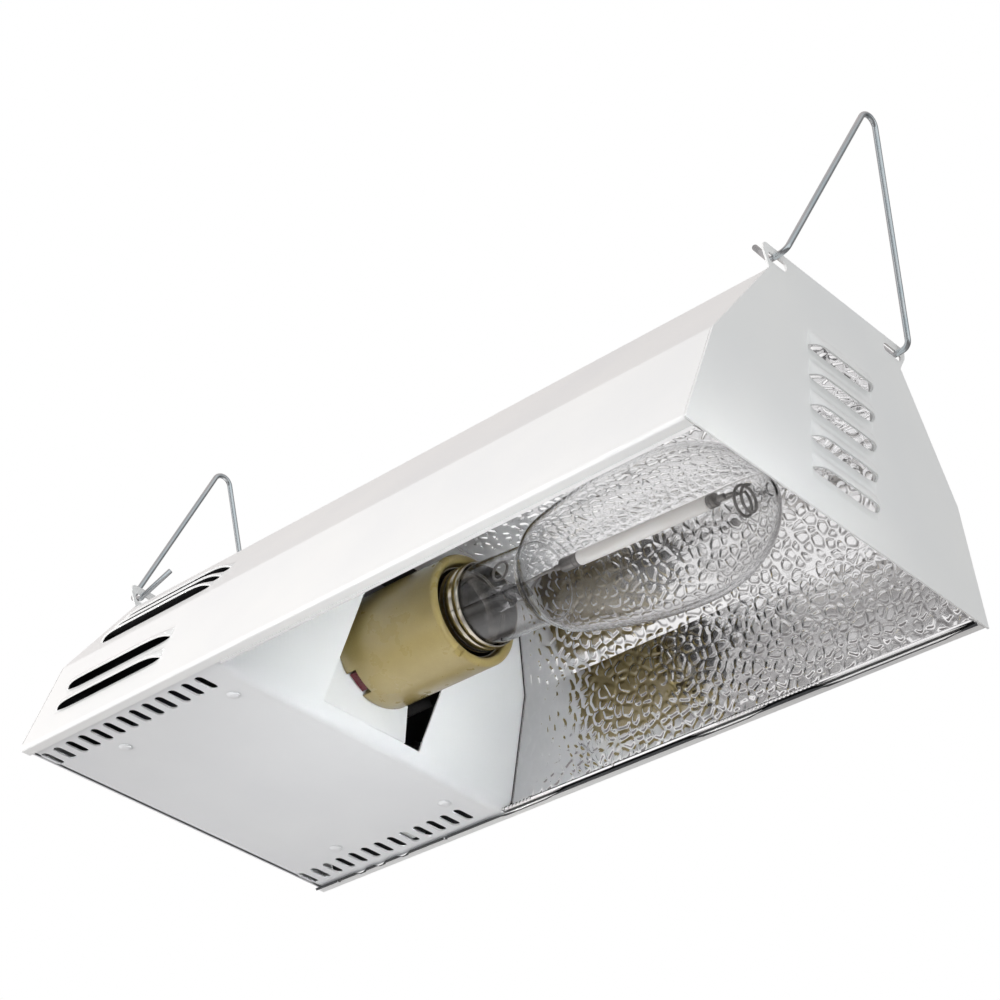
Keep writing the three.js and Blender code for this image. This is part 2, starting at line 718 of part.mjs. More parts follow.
// Outer metal cap of the lamp: screw barrel and the wider skirt round the glass.
function lampBaseShell() {
  const profile = [
    [-42, 13],
    [-40, 17],
    [-36, 19.7],
    [-7, 19.7],
    [-4, 22.2],
    [9.5, 22.2],
    [9.5, 21.5],
    [-3.6, 21.5],
    [-7, 18.9],
    [-35.6, 18.9],
    [-39.2, 16.4],
    [-41.1, 13],
    [-42, 13],
  ];
  return turnedX(profile, LAMP_SEGMENTS);
}

function lampBaseInsulator() {
  const profile = [
    [-42.6, 4.4],
    [-42.6, 9],
    [-41.6, 12.6],
    [-38, 12.6],
    [-38, 4.4],
    [-42.6, 4.4],
  ];
  return turnedX(profile, 20);
}

function lampBaseContact() {
  const profile = [
    [-44.8, 0],
    [-44.4, 2.6],
    [-43.2, 4],
    [-39, 4],
    [-39, 0],
  ];
  return turnedX(profile, 16);
}

// Glass stem: a flare towards the base that narrows to a flattened press.
function lampStem() {
  const flare = [
    [2, 0],
    [2, 16],
    [4, 14],
    [8, 9],
    [14, 6.4],
    [24, 6],
    [24, 0],
  ];
  const press = solid(box(22, 34, -7, 7, -2.6, 2.6));
  return geometryOf(solid(turnedX(flare, 20)).add(press));
}

// Point on the arc tube's own axis, which rises a little towards the dome.
function onArcTube(s) {
  return [s, ARC_TUBE_Y, ARC_TUBE_Z + (s - ARC_TUBE_CAP) * Math.tan(ARC_TUBE_TILT)];
}

// Puts a piece made about the X axis onto the arc tube's axis.
function tiltedOnArcTube(geometry) {
  geometry.translate(-ARC_TUBE_CAP, 0, 0).rotateY(-ARC_TUBE_TILT);
  return geometry.translate(ARC_TUBE_CAP, ARC_TUBE_Y, ARC_TUBE_Z);
}

// Wire that holds the far end of the arc tube, with a loop at the dome.
function lampFrameWire() {
  const back = [5.2, 9.2];
  const points = [
    [35.2, 4, 1.5],
    [40, back[0], back[1]],
    [48, back[0], back[1]],
    [162, back[0], back[1]],
    [168, 4, 8.8],
  ];
  const loop = 7.6;
  const turns = 14;
  for (let k = 0; k <= turns; k++) {
    const angle = Math.PI / 2 - (2 * Math.PI * 0.9 * k) / turns;
    points.push([171 + (3 * k) / turns, loop * Math.cos(angle), loop * Math.sin(angle)]);
  }
  return wire(points, 0.75, 6);
}

// Lead from the press of the stem to the near end of the arc tube.
function lampLeadWire() {
  return wire(
    [
      [34.6, -4, 0],
      [42, -3.4, 1],
      [50, ARC_TUBE_Y, ARC_TUBE_Z],
      onArcTube(56.4),
    ],
    0.75,
    6,
  );
}

// Link from the far end of the arc tube to the frame wire.
function lampLinkWire() {
  return wire(
    [
      onArcTube(163.4),
      onArcTube(165.6),
      [167.6, 0.5, 5.6],
    ],
    0.75,
    6,
  );
}

function arcTube() {
  const profile = [
    [ARC_TUBE_START, 0],
    [ARC_TUBE_START, ARC_TUBE_RADIUS - 0.6],
    [ARC_TUBE_START + 0.6, ARC_TUBE_RADIUS],
    [ARC_TUBE_END - 0.6, ARC_TUBE_RADIUS],
    [ARC_TUBE_END, ARC_TUBE_RADIUS - 0.6],
    [ARC_TUBE_END, 0],
  ];
  return tiltedOnArcTube(turnedX(profile, 16));
}

// Metal end of the arc tube, from its face away from the tube towards the tube.
function arcTubeEnd(outer, inner) {
  const way = Math.sign(inner - outer);
  const profile = [
    [outer, 0],
    [outer, 1.4],
    [outer + way * 4.6, 1.6],
    [outer + way * 4.6, ARC_TUBE_RADIUS - 0.2],
    [inner, ARC_TUBE_RADIUS - 0.2],
    [inner, 0],
  ];
  return tiltedOnArcTube(turnedX(way > 0 ? profile : profile.reverse(), 14));
}

function getterRing() {
  const ring = new THREE.TorusGeometry(5, 0.7, 6, 20);
  ring.scale(1, 0.72, 1);
  ring.rotateX(Math.PI / 2 - 0.6);
  return ring.translate(26, -9.4, 8.6);
}

// ---------------------------------------------------------------- ballast bay

function railX(side) {
  return CORE_MIDDLE + (side * (CORE_WIDTH - OUTER_LEG)) / 2;
}

function rivetPlaces() {
  return [-1, 1].flatMap((side) => [-1, 1].map((end) => [railX(side), end * RIVET_Y]));
}

const BOLT_HEIGHTS = [CORE_BOTTOM + 7, CORE_BOTTOM + CORE_HEIGHT - 7];

// Laminated iron core with two windows.
function ballastCore() {
  const left = CORE_MIDDLE - CORE_WIDTH / 2;
  const right = CORE_MIDDLE + CORE_WIDTH / 2;
  const half = CORE_STACK / 2;
  let body = solid(box(left, right, -half, half, CORE_BOTTOM, CORE_BOTTOM + CORE_HEIGHT));
  for (const side of [-1, 1]) {
    const a = CORE_MIDDLE + (side * CENTRE_LEG) / 2;
    const b = CORE_MIDDLE + side * (CORE_WIDTH / 2 - OUTER_LEG);
    const window = box(
      Math.min(a, b),
      Math.max(a, b),
      -half - 1,
      half + 1,
      CORE_BOTTOM + YOKE,
      CORE_BOTTOM + CORE_HEIGHT - YOKE,
    );
    body = body.subtract(solid(window));
    for (const z of BOLT_HEIGHTS) {
      const bore = BOLT_RADIUS + GAP;
      const hole = turnedY([[-half - 1, 0], [-half - 1, bore], [half + 1, bore], [half + 1, 0]], 12);
      body = body.subtract(solid(hole.translate(railX(side), 0, z)));
    }
  }
  return geometryOf(body);
}

// One winding round the core's middle leg, between two heights.
function coil(z0, z1) {
  const ring = (halfX, halfY, corner) => {
    const shape = new THREE.Shape();
    shape.moveTo(-halfX + corner, -halfY);
    shape.lineTo(halfX - corner, -halfY);
    shape.absarc(halfX - corner, -halfY + corner, corner, -Math.PI / 2, 0, false);
    shape.absarc(halfX - corner, halfY - corner, corner, 0, Math.PI / 2, false);
    shape.absarc(-halfX + corner, halfY - corner, corner, Math.PI / 2, Math.PI, false);
    shape.absarc(-halfX + corner, -halfY + corner, corner, Math.PI, 1.5 * Math.PI, false);
    return shape;
  };
  const build = 16.4;
  const innerX = CENTRE_LEG / 2 + 0.5;
  const innerY = CORE_STACK / 2 + 0.5;
  const shape = ring(innerX + build, innerY + build, 9);
  shape.holes.push(ring(innerX, innerY, 0.4));
  const settings = { depth: z1 - z0, bevelEnabled: false, curveSegments: 4 };
  return new THREE.ExtrudeGeometry(shape, settings).translate(CORE_MIDDLE, 0, z0);
}

const WINDOW_BOTTOM = CORE_BOTTOM + YOKE;
const WINDOW_TOP = CORE_BOTTOM + CORE_HEIGHT - YOKE;
const WINDOW_MIDDLE = (WINDOW_BOTTOM + WINDOW_TOP) / 2;

// Steel rail across the pan that carries one side of the core between two upright lugs.
function ballastRail(side) {
  const x0 = railX(side) - RAIL_WIDTH / 2;
  const x1 = x0 + RAIL_WIDTH;
  const z0 = PAN_LEVEL + SHEET + GAP;
  let body = solid(box(x0, x1, -RAIL_HALF_LENGTH, RAIL_HALF_LENGTH, z0, z0 + RAIL_SHEET));
  const face = CORE_STACK / 2 + GAP;
  for (const end of [-1, 1]) {
    const y0 = end > 0 ? face : -face - RAIL_SHEET;
    body = body.add(solid(box(x0, x1, y0, y0 + RAIL_SHEET, z0, z0 + 16)));
  }
  const bore = BOLT_RADIUS + GAP;
  const hole = turnedY([[-40, 0], [-40, bore], [40, bore], [40, 0]], 12);
  body = body.subtract(solid(hole.translate(railX(side), 0, BOLT_HEIGHTS[0])));
  for (const end of [-1, 1]) {
    const drilled = turnedZ([[-3, 0], [-3, 2.4], [6, 2.4], [6, 0]], 10);
    body = body.subtract(solid(drilled.translate(railX(side), end * RIVET_Y, z0)));
  }
  return geometryOf(body);
}

// Through bolt along Y with its hexagon head at -Y.
function ballastBolt(x, z) {
  const seat = CORE_STACK / 2 + RAIL_SHEET + 2 * GAP;
  const shank = solid(turnedY([[-seat - 1, 0], [-seat - 1, BOLT_RADIUS], [seat + 6, BOLT_RADIUS], [seat + 6, 0]], 12));
  const head = solid(turnedY([[-seat - 3.6, 0], [-seat - 3.6, 4.4], [-seat, 4.4], [-seat, 0]], 6));
  return geometryOf(shank.add(head)).translate(x, 0, z);
}

function ballastNut(x, z) {
  const seat = CORE_STACK / 2 + RAIL_SHEET + 2 * GAP;
  const bore = BOLT_RADIUS + GAP;
  const nut = solid(turnedY([[seat, 0], [seat, 4.6], [seat + 4, 4.6], [seat + 4, 0]], 6));
  const hole = solid(turnedY([[seat - 1, 0], [seat - 1, bore], [seat + 5, bore], [seat + 5, 0]], 12));
  return geometryOf(nut.subtract(hole)).translate(x, 0, z);
}

// Low domed rivet that fixes a rail to the pan, head below.
function coverRivet(x, y) {
  const seat = PAN_LEVEL - GAP;
  const upper = PAN_LEVEL + SHEET + GAP + RAIL_SHEET + 1.4;
  const profile = [
    [seat - 0.9, 0],
    [seat - 0.8, 2],
    [seat - 0.4, 3.2],
    [seat, 3.6],
    [seat, 2.1],
    [upper, 2.1],
    [upper, 0],
  ];
  return turnedZ(profile, 14).translate(x, y, 0);
}

const CAN_RADIUS = 17;
const CAN_Y = 68;
const CAN_Z = PAN_LEVEL + SHEET + GAP + 1 + GAP + CAN_RADIUS;

// Round capacitor can that lies along X, with a crimped end.
function capacitorCan() {
  const half = 32;
  const profile = [
    [-half, 0],
    [-half, CAN_RADIUS - 2],
    [-half + 1.5, CAN_RADIUS],
    [half - 3, CAN_RADIUS],
    [half - 2, CAN_RADIUS - 1],
    [half - 0.5, CAN_RADIUS],
    [half, CAN_RADIUS - 1.5],
    [half - 1.5, CAN_RADIUS - 3],
    [half - 1.5, 0],
  ];
  return turnedX(profile, 24).translate(CORE_MIDDLE, CAN_Y, CAN_Z);
}

// Strap that holds the can down on the pan, with two feet.
function capacitorStrap() {
  const inner = CAN_RADIUS + GAP;
  const strap = 1;
  const foot = PAN_LEVEL + SHEET + GAP;
  const outline = [];
  const pieces = 12;
  for (let k = 0; k <= pieces; k++) {
    const angle = (Math.PI * k) / pieces;
    outline.push([CAN_Y + (inner + strap) * Math.cos(angle), CAN_Z + (inner + strap) * Math.sin(angle)]);
  }
  outline.push([CAN_Y - inner - strap, foot + strap]);
  outline.push([CAN_Y - inner - 6, foot + strap]);
  outline.push([CAN_Y - inner - 6, foot]);
  outline.push([CAN_Y - inner, foot]);
  for (let k = pieces; k >= 0; k--) {
    const angle = (Math.PI * k) / pieces;
    outline.push([CAN_Y + inner * Math.cos(angle), CAN_Z + inner * Math.sin(angle)]);
  }
  outline.push([CAN_Y + inner, foot]);
  outline.push([CAN_Y + inner + 9, foot]);
  outline.push([CAN_Y + inner + 9, foot + strap]);
  outline.push([CAN_Y + inner + strap, foot + strap]);
  return prismX(outline, CORE_MIDDLE - 7, CORE_MIDDLE + 7);
}

const IGNITOR_X0 = -165;
const IGNITOR_X1 = -113;
const IGNITOR_Y = -66;

// Potted ignitor block.
function ignitor() {
  const z0 = PAN_LEVEL + SHEET + GAP;
  const height = 30;
  const halfWidth = 15;
  const chamfer = 2;
  const outline = [
    [IGNITOR_Y - halfWidth, z0],
    [IGNITOR_Y + halfWidth, z0],
    [IGNITOR_Y + halfWidth, z0 + height - chamfer],
    [IGNITOR_Y + halfWidth - chamfer, z0 + height],
    [IGNITOR_Y - halfWidth + chamfer, z0 + height],
    [IGNITOR_Y - halfWidth, z0 + height - chamfer],
  ];
  return prismX(outline, IGNITOR_X0, IGNITOR_X1);
}

// Twist-on wire connector, mouth down.
const CONNECTOR_X = -203;
const CONNECTOR_Z = 56;
const CONNECTOR_YS = [-32, -6, 20];

function wireConnector(y) {
  const profile = [
    [3, 0],
    [3, 4.6],
    [0, 5.6],
    [0, 7.4],
    [8, 7],
    [20, 4.4],
    [21, 3.4],
    [21, 0],
  ];
  return turnedZ(profile, 14).translate(CONNECTOR_X, y, CONNECTOR_Z);
}

function cordBushing() {
  const outer = -HALF_LENGTH - GAP;
  const bore = 5;
  const profile = [
    [outer - 8, bore],
    [outer - 8, bore + 3],
    [outer - 7, bore + 4],
    [outer - 2.5, bore + 6],
    [outer - 2, 14.5],
    [outer, 15],
    [outer, INLET_RADIUS - 0.5],
    [outer + 9, INLET_RADIUS - 0.8],
    [outer + 12, bore + 3.4],
    [outer + 12, bore],
    [outer - 8, bore],
  ];
  return turnedX(profile, 24).translate(0, INLET_Y, INLET_Z);
}

function groundScrew() {
  const seat = -HALF_LENGTH + SHEET + GAP;
  const head = solid(turnedX([[0, 0], [0, 4.4], [2.6, 4.4], [2.6, 0]], 6));
  const shank = solid(turnedX([[-3, 0], [-3, 2], [1, 2], [1, 0]], 12));
  return geometryOf(head.add(shank)).translate(seat, GROUND_Y, GROUND_Z);
}

// Insulated leads. Each runs between two pieces in the ballast bay or on to the lampholder.
function lampLead(y, z, ...start) {
  return route(...start, [-79, y / 3, LAMP_HEIGHT + z / 4], [-73.5, y / 2, LAMP_HEIGHT + z / 2], [-69.4, y, LAMP_HEIGHT + z]);
}

const LEADS = {
  lead_red: {
    color: 0x8c1f1c,
    points: lampLead(-9, -8, [IGNITOR_X1 + 1.8, IGNITOR_Y, 20], [-100, -62, 24], [-90, -44, 40], [-82.5, -20, 50]),
  },
  lead_white: {
    color: 0xe6e4dc,
    points: lampLead(9, 6, [-114, 43.7, 50], [-102, 49, 55], [-86, 42, 60], [-80.5, 20, 56]),
  },
  lead_black: {
    color: 0x1d1d1f,
    points: route([-150, -43.7, 34], [-166, -46, 35], [-188, -44, 37], [-201, -36, 45], [-203, -32, 57]),
  },
  lead_blue: {
    color: 0x2d4f86,
    points: route([CORE_MIDDLE - 33.6, CAN_Y, 24], [-184, 62, 26], [-198, 36, 36], [-203, 20, 48], [-203, 20, 57]),
  },
  lead_yellow: {
    color: 0xc9a531,
    points: route([IGNITOR_X0 - 1.8, IGNITOR_Y, 18], [-180, -60, 18], [-198, -26, 30], [-203, -6, 48], [-203, -6, 57]),
  },
};

// ---------------------------------------------------------------- assembly

const FINISHES = {
  whitePaint: { color: 0xf1f1ef, roughness: 0.45, metalness: 0 },
  hammered: { color: 0xd8dadb, roughness: 0.2, metalness: 1 },
  zinc: { color: 0xb9bec0, roughness: 0.3, metalness: 1 },
  porcelain: { color: 0xb7a56f, roughness: 0.35, metalness: 0 },
  nickel: { color: 0xb5aea0, roughness: 0.25, metalness: 1 },
  brass: { color: 0xb08d4c, roughness: 0.35, metalness: 1 },
  glass: { color: 0xe9eef0, roughness: 0.05, metalness: 0, transparent: true, opacity: 0.35 },
  blackGlass: { color: 0x17171a, roughness: 0.2, metalness: 0 },
  alumina: { color: 0xe8e0da, roughness: 0.5, metalness: 0 },
  darkWire: { color: 0x6c6a68, roughness: 0.35, metalness: 1 },
  iron: { color: 0x3a3c3f, roughness: 0.6, metalness: 0.7 },
  winding: { color: 0x8a4a22, roughness: 0.5, metalness: 0.3 },
  canMetal: { color: 0xa9adb0, roughness: 0.35, metalness: 1 },
  potting: { color: 0x202226, roughness: 0.6, metalness: 0 },
  connector: { color: 0xc9a22b, roughness: 0.45, metalness: 0 },
  sleeve: { color: 0x6e1420, roughness: 0.4, metalness: 0 },
  bushing: { color: 0x1b1b1c, roughness: 0.6, metalness: 0 },
  greenScrew: { color: 0x2f7a45, roughness: 0.4, metalness: 0.6 },
};

const growLamp = new THREE.Group();

function place(parent, name, geometry, finish) {
  const material = new THREE.MeshStandardMaterial(finish);
  const mesh = new THREE.Mesh(geometry, material);
  mesh.name = name;
  parent.add(mesh);
}

place(growLamp, "housing_shell", geometryOf(housingShell()), FINISHES.whitePaint);
place(growLamp, "lamp_end_plate", geometryOf(lampEndPlate()), FINISHES.whitePaint);
place(growLamp, "ballast_end_plate", geometryOf(ballastEndPlate()), FINISHES.whitePaint);
place(growLamp, "ballast_cover", geometryOf(ballastCover()), FINISHES.whitePaint);
place(growLamp, "reflector", geometryOf(reflector()), FINISHES.hammered);
place(growLamp, "hanger_lamp_end", hanger(1, LAMP_HANGER_LEAN), FINISHES.zinc);
place(growLamp, "hanger_ballast_end", hanger(-1, BALLAST_HANGER_LEAN), FINISHES.zinc);

place(growLamp, "lampholder_body", lampholderBody(), FINISHES.porcelain);
place(growLamp, "lampholder_screw_shell", lampholderScrewShell(), FINISHES.nickel);
place(growLamp, "lampholder_contact", lampholderContact(), FINISHES.brass);
HOLDER_SCREWS.forEach(([y, z], k) => {
  place(growLamp, "lampholder_screw_" + (k + 1), holderScrew(y, z), FINISHES.zinc);
});

const lamp = new THREE.Group();
lamp.position.set(HOLDER_FRONT, 0, LAMP_HEIGHT);
lamp.rotation.y = LAMP_DROOP;
growLamp.add(lamp);
place(lamp, "lamp_envelope", lampEnvelope(), FINISHES.glass);
place(lamp, "lamp_base_shell", lampBaseShell(), FINISHES.nickel);
place(lamp, "lamp_base_insulator", lampBaseInsulator(), FINISHES.blackGlass);
place(lamp, "lamp_base_contact", lampBaseContact(), FINISHES.brass);
place(lamp, "lamp_stem", lampStem(), FINISHES.glass);
place(lamp, "lamp_getter_ring", getterRing(), FINISHES.darkWire);
place(lamp, "lamp_frame_wire", lampFrameWire(), FINISHES.darkWire);
place(lamp, "lamp_lead_wire", lampLeadWire(), FINISHES.darkWire);
place(lamp, "lamp_link_wire", lampLinkWire(), FINISHES.darkWire);
place(lamp, "arc_tube", arcTube(), FINISHES.alumina);
place(lamp, "arc_tube_base_end", arcTubeEnd(ARC_TUBE_CAP, ARC_TUBE_START - GAP), FINISHES.darkWire);
place(lamp, "arc_tube_dome_end", arcTubeEnd(162.6, ARC_TUBE_END + GAP), FINISHES.darkWire);

place(growLamp, "ballast_core", ballastCore(), FINISHES.iron);
place(growLamp, "ballast_primary_coil", coil(WINDOW_BOTTOM + 0.6, WINDOW_MIDDLE - 1), FINISHES.winding);
place(growLamp, "ballast_secondary_coil", coil(WINDOW_MIDDLE + 1, WINDOW_TOP - 0.6), FINISHES.winding);
[-1, 1].forEach((side, k) => {
  place(growLamp, "ballast_rail_" + (k + 1), ballastRail(side), FINISHES.zinc);
  BOLT_HEIGHTS.forEach((z, level) => {
    const number = 2 * k + level + 1;
    place(growLamp, "ballast_bolt_" + number, ballastBolt(railX(side), z), FINISHES.zinc);
    place(growLamp, "ballast_nut_" + number, ballastNut(railX(side), z), FINISHES.zinc);
  });
});
rivetPlaces().forEach(([x, y], k) => {
  place(growLamp, "cover_rivet_" + (k + 1), coverRivet(x, y), FINISHES.whitePaint);
});
place(growLamp, "capacitor", capacitorCan(), FINISHES.canMetal);
place(growLamp, "capacitor_strap", capacitorStrap(), FINISHES.zinc);
place(growLamp, "ignitor", ignitor(), FINISHES.potting);
CONNECTOR_YS.forEach((y, k) => {
  place(growLamp, "wire_connector_" + (k + 1), wireConnector(y), FINISHES.connector);
});
for (const [name, { color, points }] of Object.entries(LEADS))
  place(growLamp, name, wire(points, LEAD_RADIUS, 8), { color, roughness: 0.5, metalness: 0 });
place(growLamp, "lead_red_sleeve", leadSleeve(), FINISHES.sleeve);
place(growLamp, "cord_bushing", cordBushing(), FINISHES.bushing);
place(growLamp, "ground_screw", groundScrew(), FINISHES.greenScrew);

// Origin: on the plane of the open underside, below the middle of the whole lamp's box.
growLamp.updateMatrixWorld(true);
const extent = new THREE.Box3().setFromObject(growLamp, true);
growLamp.position.x = -(extent.min.x + extent.max.x) / 2;

export default growLamp;
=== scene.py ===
import math
from contextlib import contextmanager

import bmesh
import bpy
import numpy as np
from mathutils import Matrix, Vector
from mathutils.geometry import tessellate_polygon


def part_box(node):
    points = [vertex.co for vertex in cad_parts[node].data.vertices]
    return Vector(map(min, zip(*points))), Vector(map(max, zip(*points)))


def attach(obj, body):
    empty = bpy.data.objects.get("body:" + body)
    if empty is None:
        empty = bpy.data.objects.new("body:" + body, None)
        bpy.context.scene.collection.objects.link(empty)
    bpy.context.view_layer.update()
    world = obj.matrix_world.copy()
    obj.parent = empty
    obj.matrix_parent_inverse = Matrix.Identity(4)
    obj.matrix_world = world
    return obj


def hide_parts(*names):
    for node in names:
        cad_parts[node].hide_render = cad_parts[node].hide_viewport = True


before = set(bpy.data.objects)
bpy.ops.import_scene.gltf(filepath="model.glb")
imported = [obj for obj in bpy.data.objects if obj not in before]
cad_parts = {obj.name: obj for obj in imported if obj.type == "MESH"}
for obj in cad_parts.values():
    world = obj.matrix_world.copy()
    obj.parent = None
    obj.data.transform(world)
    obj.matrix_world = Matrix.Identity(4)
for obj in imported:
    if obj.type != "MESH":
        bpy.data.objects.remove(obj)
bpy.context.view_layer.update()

scene = bpy.context.scene

# Lengths are in millimetres along the housing's own axes, with x = 0 at its middle, until to_row().
MM = 0.001
shell_low, shell_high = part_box("housing_shell")
SHIFT = (shell_low.x + shell_high.x) / 2

SHEET = 1.0
GAP = 0.3
HALF_LENGTH = 224.5
RIM_HALF_WIDTH = 108.0
BEND_HALF_WIDTH = 89.5
BEND_HEIGHT = 58.0
TOP_HALF_WIDTH = 50.5
TOP_HEIGHT = 114.7
LIP_WIDTH = 7.0
WALL = [
    (-RIM_HALF_WIDTH, 0.0),
    (-BEND_HALF_WIDTH, BEND_HEIGHT),
    (-TOP_HALF_WIDTH, TOP_HEIGHT),
    (TOP_HALF_WIDTH, TOP_HEIGHT),
    (BEND_HALF_WIDTH, BEND_HEIGHT),
    (RIM_HALF_WIDTH, 0.0),
]
PARTITION_FOOT = -76.7
PARTITION_SLOPE = math.tan(math.radians(24))
LAMP_HEIGHT = 50.0
LAMP_ORIGIN = np.array([-3.5, 0.0, LAMP_HEIGHT])
LAMP_DROOP = math.radians(3.4)


# ---------------------------------------------------------------- mesh tools


def to_row(points):
    """Points in the housing's millimetres as points of the row frame in metres."""
    return np.asarray(points, float) * MM + np.array([SHIFT, 0.0, 0.0])


def on_lamp(points):
    """Points on the drooping lamp's own axis as points of the housing."""
    p = np.asarray(points, float)
    c, s = math.cos(LAMP_DROOP), math.sin(LAMP_DROOP)
    turned = np.stack([c * p[:, 0] + s * p[:, 2], p[:, 1], c * p[:, 2] - s * p[:, 0]], 1)
    return turned + LAMP_ORIGIN


def new_object(name, points, faces, material):
    mesh = bpy.data.meshes.new(name)
    mesh.from_pydata(to_row(points).tolist(), [], [tuple(int(i) for i in f) for f in faces])
    mesh.validate()
    mesh.materials.append(material)
    made = bpy.data.objects.new(name, mesh)
    scene.collection.objects.link(made)
    return made


def bake_modifiers(made):
    graph = bpy.context.evaluated_depsgraph_get()
    solid = bpy.data.meshes.new_from_object(made.evaluated_get(graph))
    solid.name = made.name
    made.modifiers.clear()
    made.data = solid


@contextmanager
def editing(made):
    """A piece's mesh opened for editing, and written back at the end."""
    work = bmesh.new()
    work.from_mesh(made.data)
    yield work
    work.to_mesh(made.data)
    work.free()


def settle(made, sharp=35.0, outward=False, flat_faces=False):
    """Applies the modifiers, then shades smooth except across edges sharper than an angle."""
    if made.modifiers:
        bake_modifiers(made)
    if outward:
        with editing(made) as work:
            bmesh.ops.recalc_face_normals(work, faces=work.faces)
    mesh = made.data
    mesh.polygons.foreach_set("use_smooth", [True] * len(mesh.polygons))
    mesh.set_sharp_from_angle(angle=math.radians(sharp))
    mesh.update()
    if flat_faces:
        modifier = made.modifiers.new("normals", "WEIGHTED_NORMAL")
        modifier.keep_sharp = True
        modifier.weight = 80
        bake_modifiers(made)


def piece(made, nodes=(), body="housing"):
    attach(made, body)
    if nodes:
        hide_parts(*nodes)


def add_solid(name, part, material, nodes=(), body="housing", sharp=35.0):
    """A closed piece made of points and faces."""
    made = new_object(name, *part, material)
    settle(made, sharp, outward=True)
    piece(made, nodes, body)


def add_sheet(name, part, material, nodes, towards, edge, inside=None, sharp=40.0, cut=None, flat_faces=False):
    """A piece of bent sheet made of its outer surface, which faces a given way on the whole."""
    made = new_object(name, *part, material)
    with editing(made) as work:
        bmesh.ops.remove_doubles(work, verts=work.verts, dist=0.004 * MM)
    if cut is not None:
        cut_level(made, cut)
    orient(made, towards)
    thicken(made, SHEET, edge, inside=inside)
    settle(made, sharp, flat_faces=flat_faces)
    if cut is not None:
        for face in made.data.polygons:
            if face.center.z > cut * MM:
                face.material_index = 0
    piece(made, nodes)


def thicken(made, thickness, edge=0.22, offset=-1.0, inside=None):
    """Turns an open surface into sheet, with softly broken edges and, when given, a second material on the inside
    faces.
    """
    modifier = made.modifiers.new("sheet", "SOLIDIFY")
    modifier.thickness = thickness * MM
    modifier.offset = offset
    modifier.use_even_offset = True
    if inside:
        made.data.materials.append(inside)
        modifier.material_offset = 1
    if edge:
        soften(made, edge)


def soften(made, width, angle=50.0, segments=2):
    modifier = made.modifiers.new("edges", "BEVEL")
    modifier.width = width * MM
    modifier.segments = segments
    modifier.limit_method = "ANGLE"
    modifier.angle_limit = math.radians(angle)
    modifier.use_clamp_overlap = True


def join_parts(parts):
    """One list of points and faces from several."""
    points, faces, start = [], [], 0
    for p, f in parts:
        p = np.asarray(p, float).reshape(-1, 3)
        points.append(p)
        faces += [tuple(int(i) + start for i in face) for face in f]
        start += len(p)
    return np.concatenate(points), faces


def rounded_path(points, radius, pieces=6):
    """An open path of points in any number of dimensions, each inner corner an arc of that radius."""
    p = [np.asarray(q, float) for q in points]
    radii = [radius] * len(p) if np.isscalar(radius) else radius
    out = [p[0]]
    for i in range(1, len(p) - 1):
        a, b = p[i - 1] - p[i], p[i + 1] - p[i]
        la, lb = np.linalg.norm(a), np.linalg.norm(b)
        a, b = a / la, b / lb
        corner = math.acos(max(-1.0, min(1.0, float(a @ b))))
        turn = math.pi - corner
        if turn < 1e-3 or radii[i] <= 0:
            out.append(p[i])
            continue
        back = min(radii[i] * math.tan(turn / 2), la * 0.48, lb * 0.48)
        r = back / math.tan(turn / 2)
        inward = (a + b) / np.linalg.norm(a + b)
        centre = p[i] + inward * math.hypot(r, back)
        start, end = p[i] + a * back - centre, p[i] + b * back - centre
        for k in range(pieces + 1):
            t = k / pieces
            mix = (math.sin((1 - t) * turn) * start + math.sin(t * turn) * end) / math.sin(turn)
            out.append(centre + mix)
    out.append(p[-1])
    return np.array(out)


class Path2D:
    """A path in a plane that gives its point and left-hand normal at any distance along it."""

    def __init__(self, points):
        self.points = np.asarray(points, float)
        steps = np.linalg.norm(np.diff(self.points, axis=0), axis=1)
        self.at = np.concatenate([[0], np.cumsum(steps)])
        ways = np.diff(self.points, axis=0) / steps[:, None]
        into = np.concatenate([ways[:1], ways])
        out = np.concatenate([ways, ways[-1:]])
        mean = into + out
        mean /= np.linalg.norm(mean, axis=1)[:, None]
        self.normals = np.stack([-mean[:, 1], mean[:, 0]], 1)

    @property
    def length(self):
        return self.at[-1]

    def point(self, s):
        return np.stack([np.interp(s, self.at, self.points[:, k]) for k in (0, 1)], -1)

    def normal(self, s):
        n = np.stack([np.interp(s, self.at, self.normals[:, k]) for k in (0, 1)], -1)
        return n / np.linalg.norm(n, axis=-1, keepdims=True)

    def where(self, axis, value, first, last):
        """Distance along the path, between two distances, at which a coordinate has a value."""
        s = np.linspace(first, last, 4001)
        return float(s[np.argmin(np.abs(self.point(s)[:, axis] - value))])


def lines(start, end, step, *exact):
    """Sorted places for grid lines: evenly spaced ones, and exact ones that push out close neighbours."""
    exact = sorted(set(round(float(e), 6) for e in exact if start - 1e-6 <= e <= end + 1e-6) | {start, end})
    count = max(1, int(math.ceil((end - start) / step)))
    even = [start + (end - start) * k / count for k in range(count + 1)]
    kept = [e for e in even if min(abs(e - x) for x in exact) > step * 0.35]
    return sorted(kept + exact)


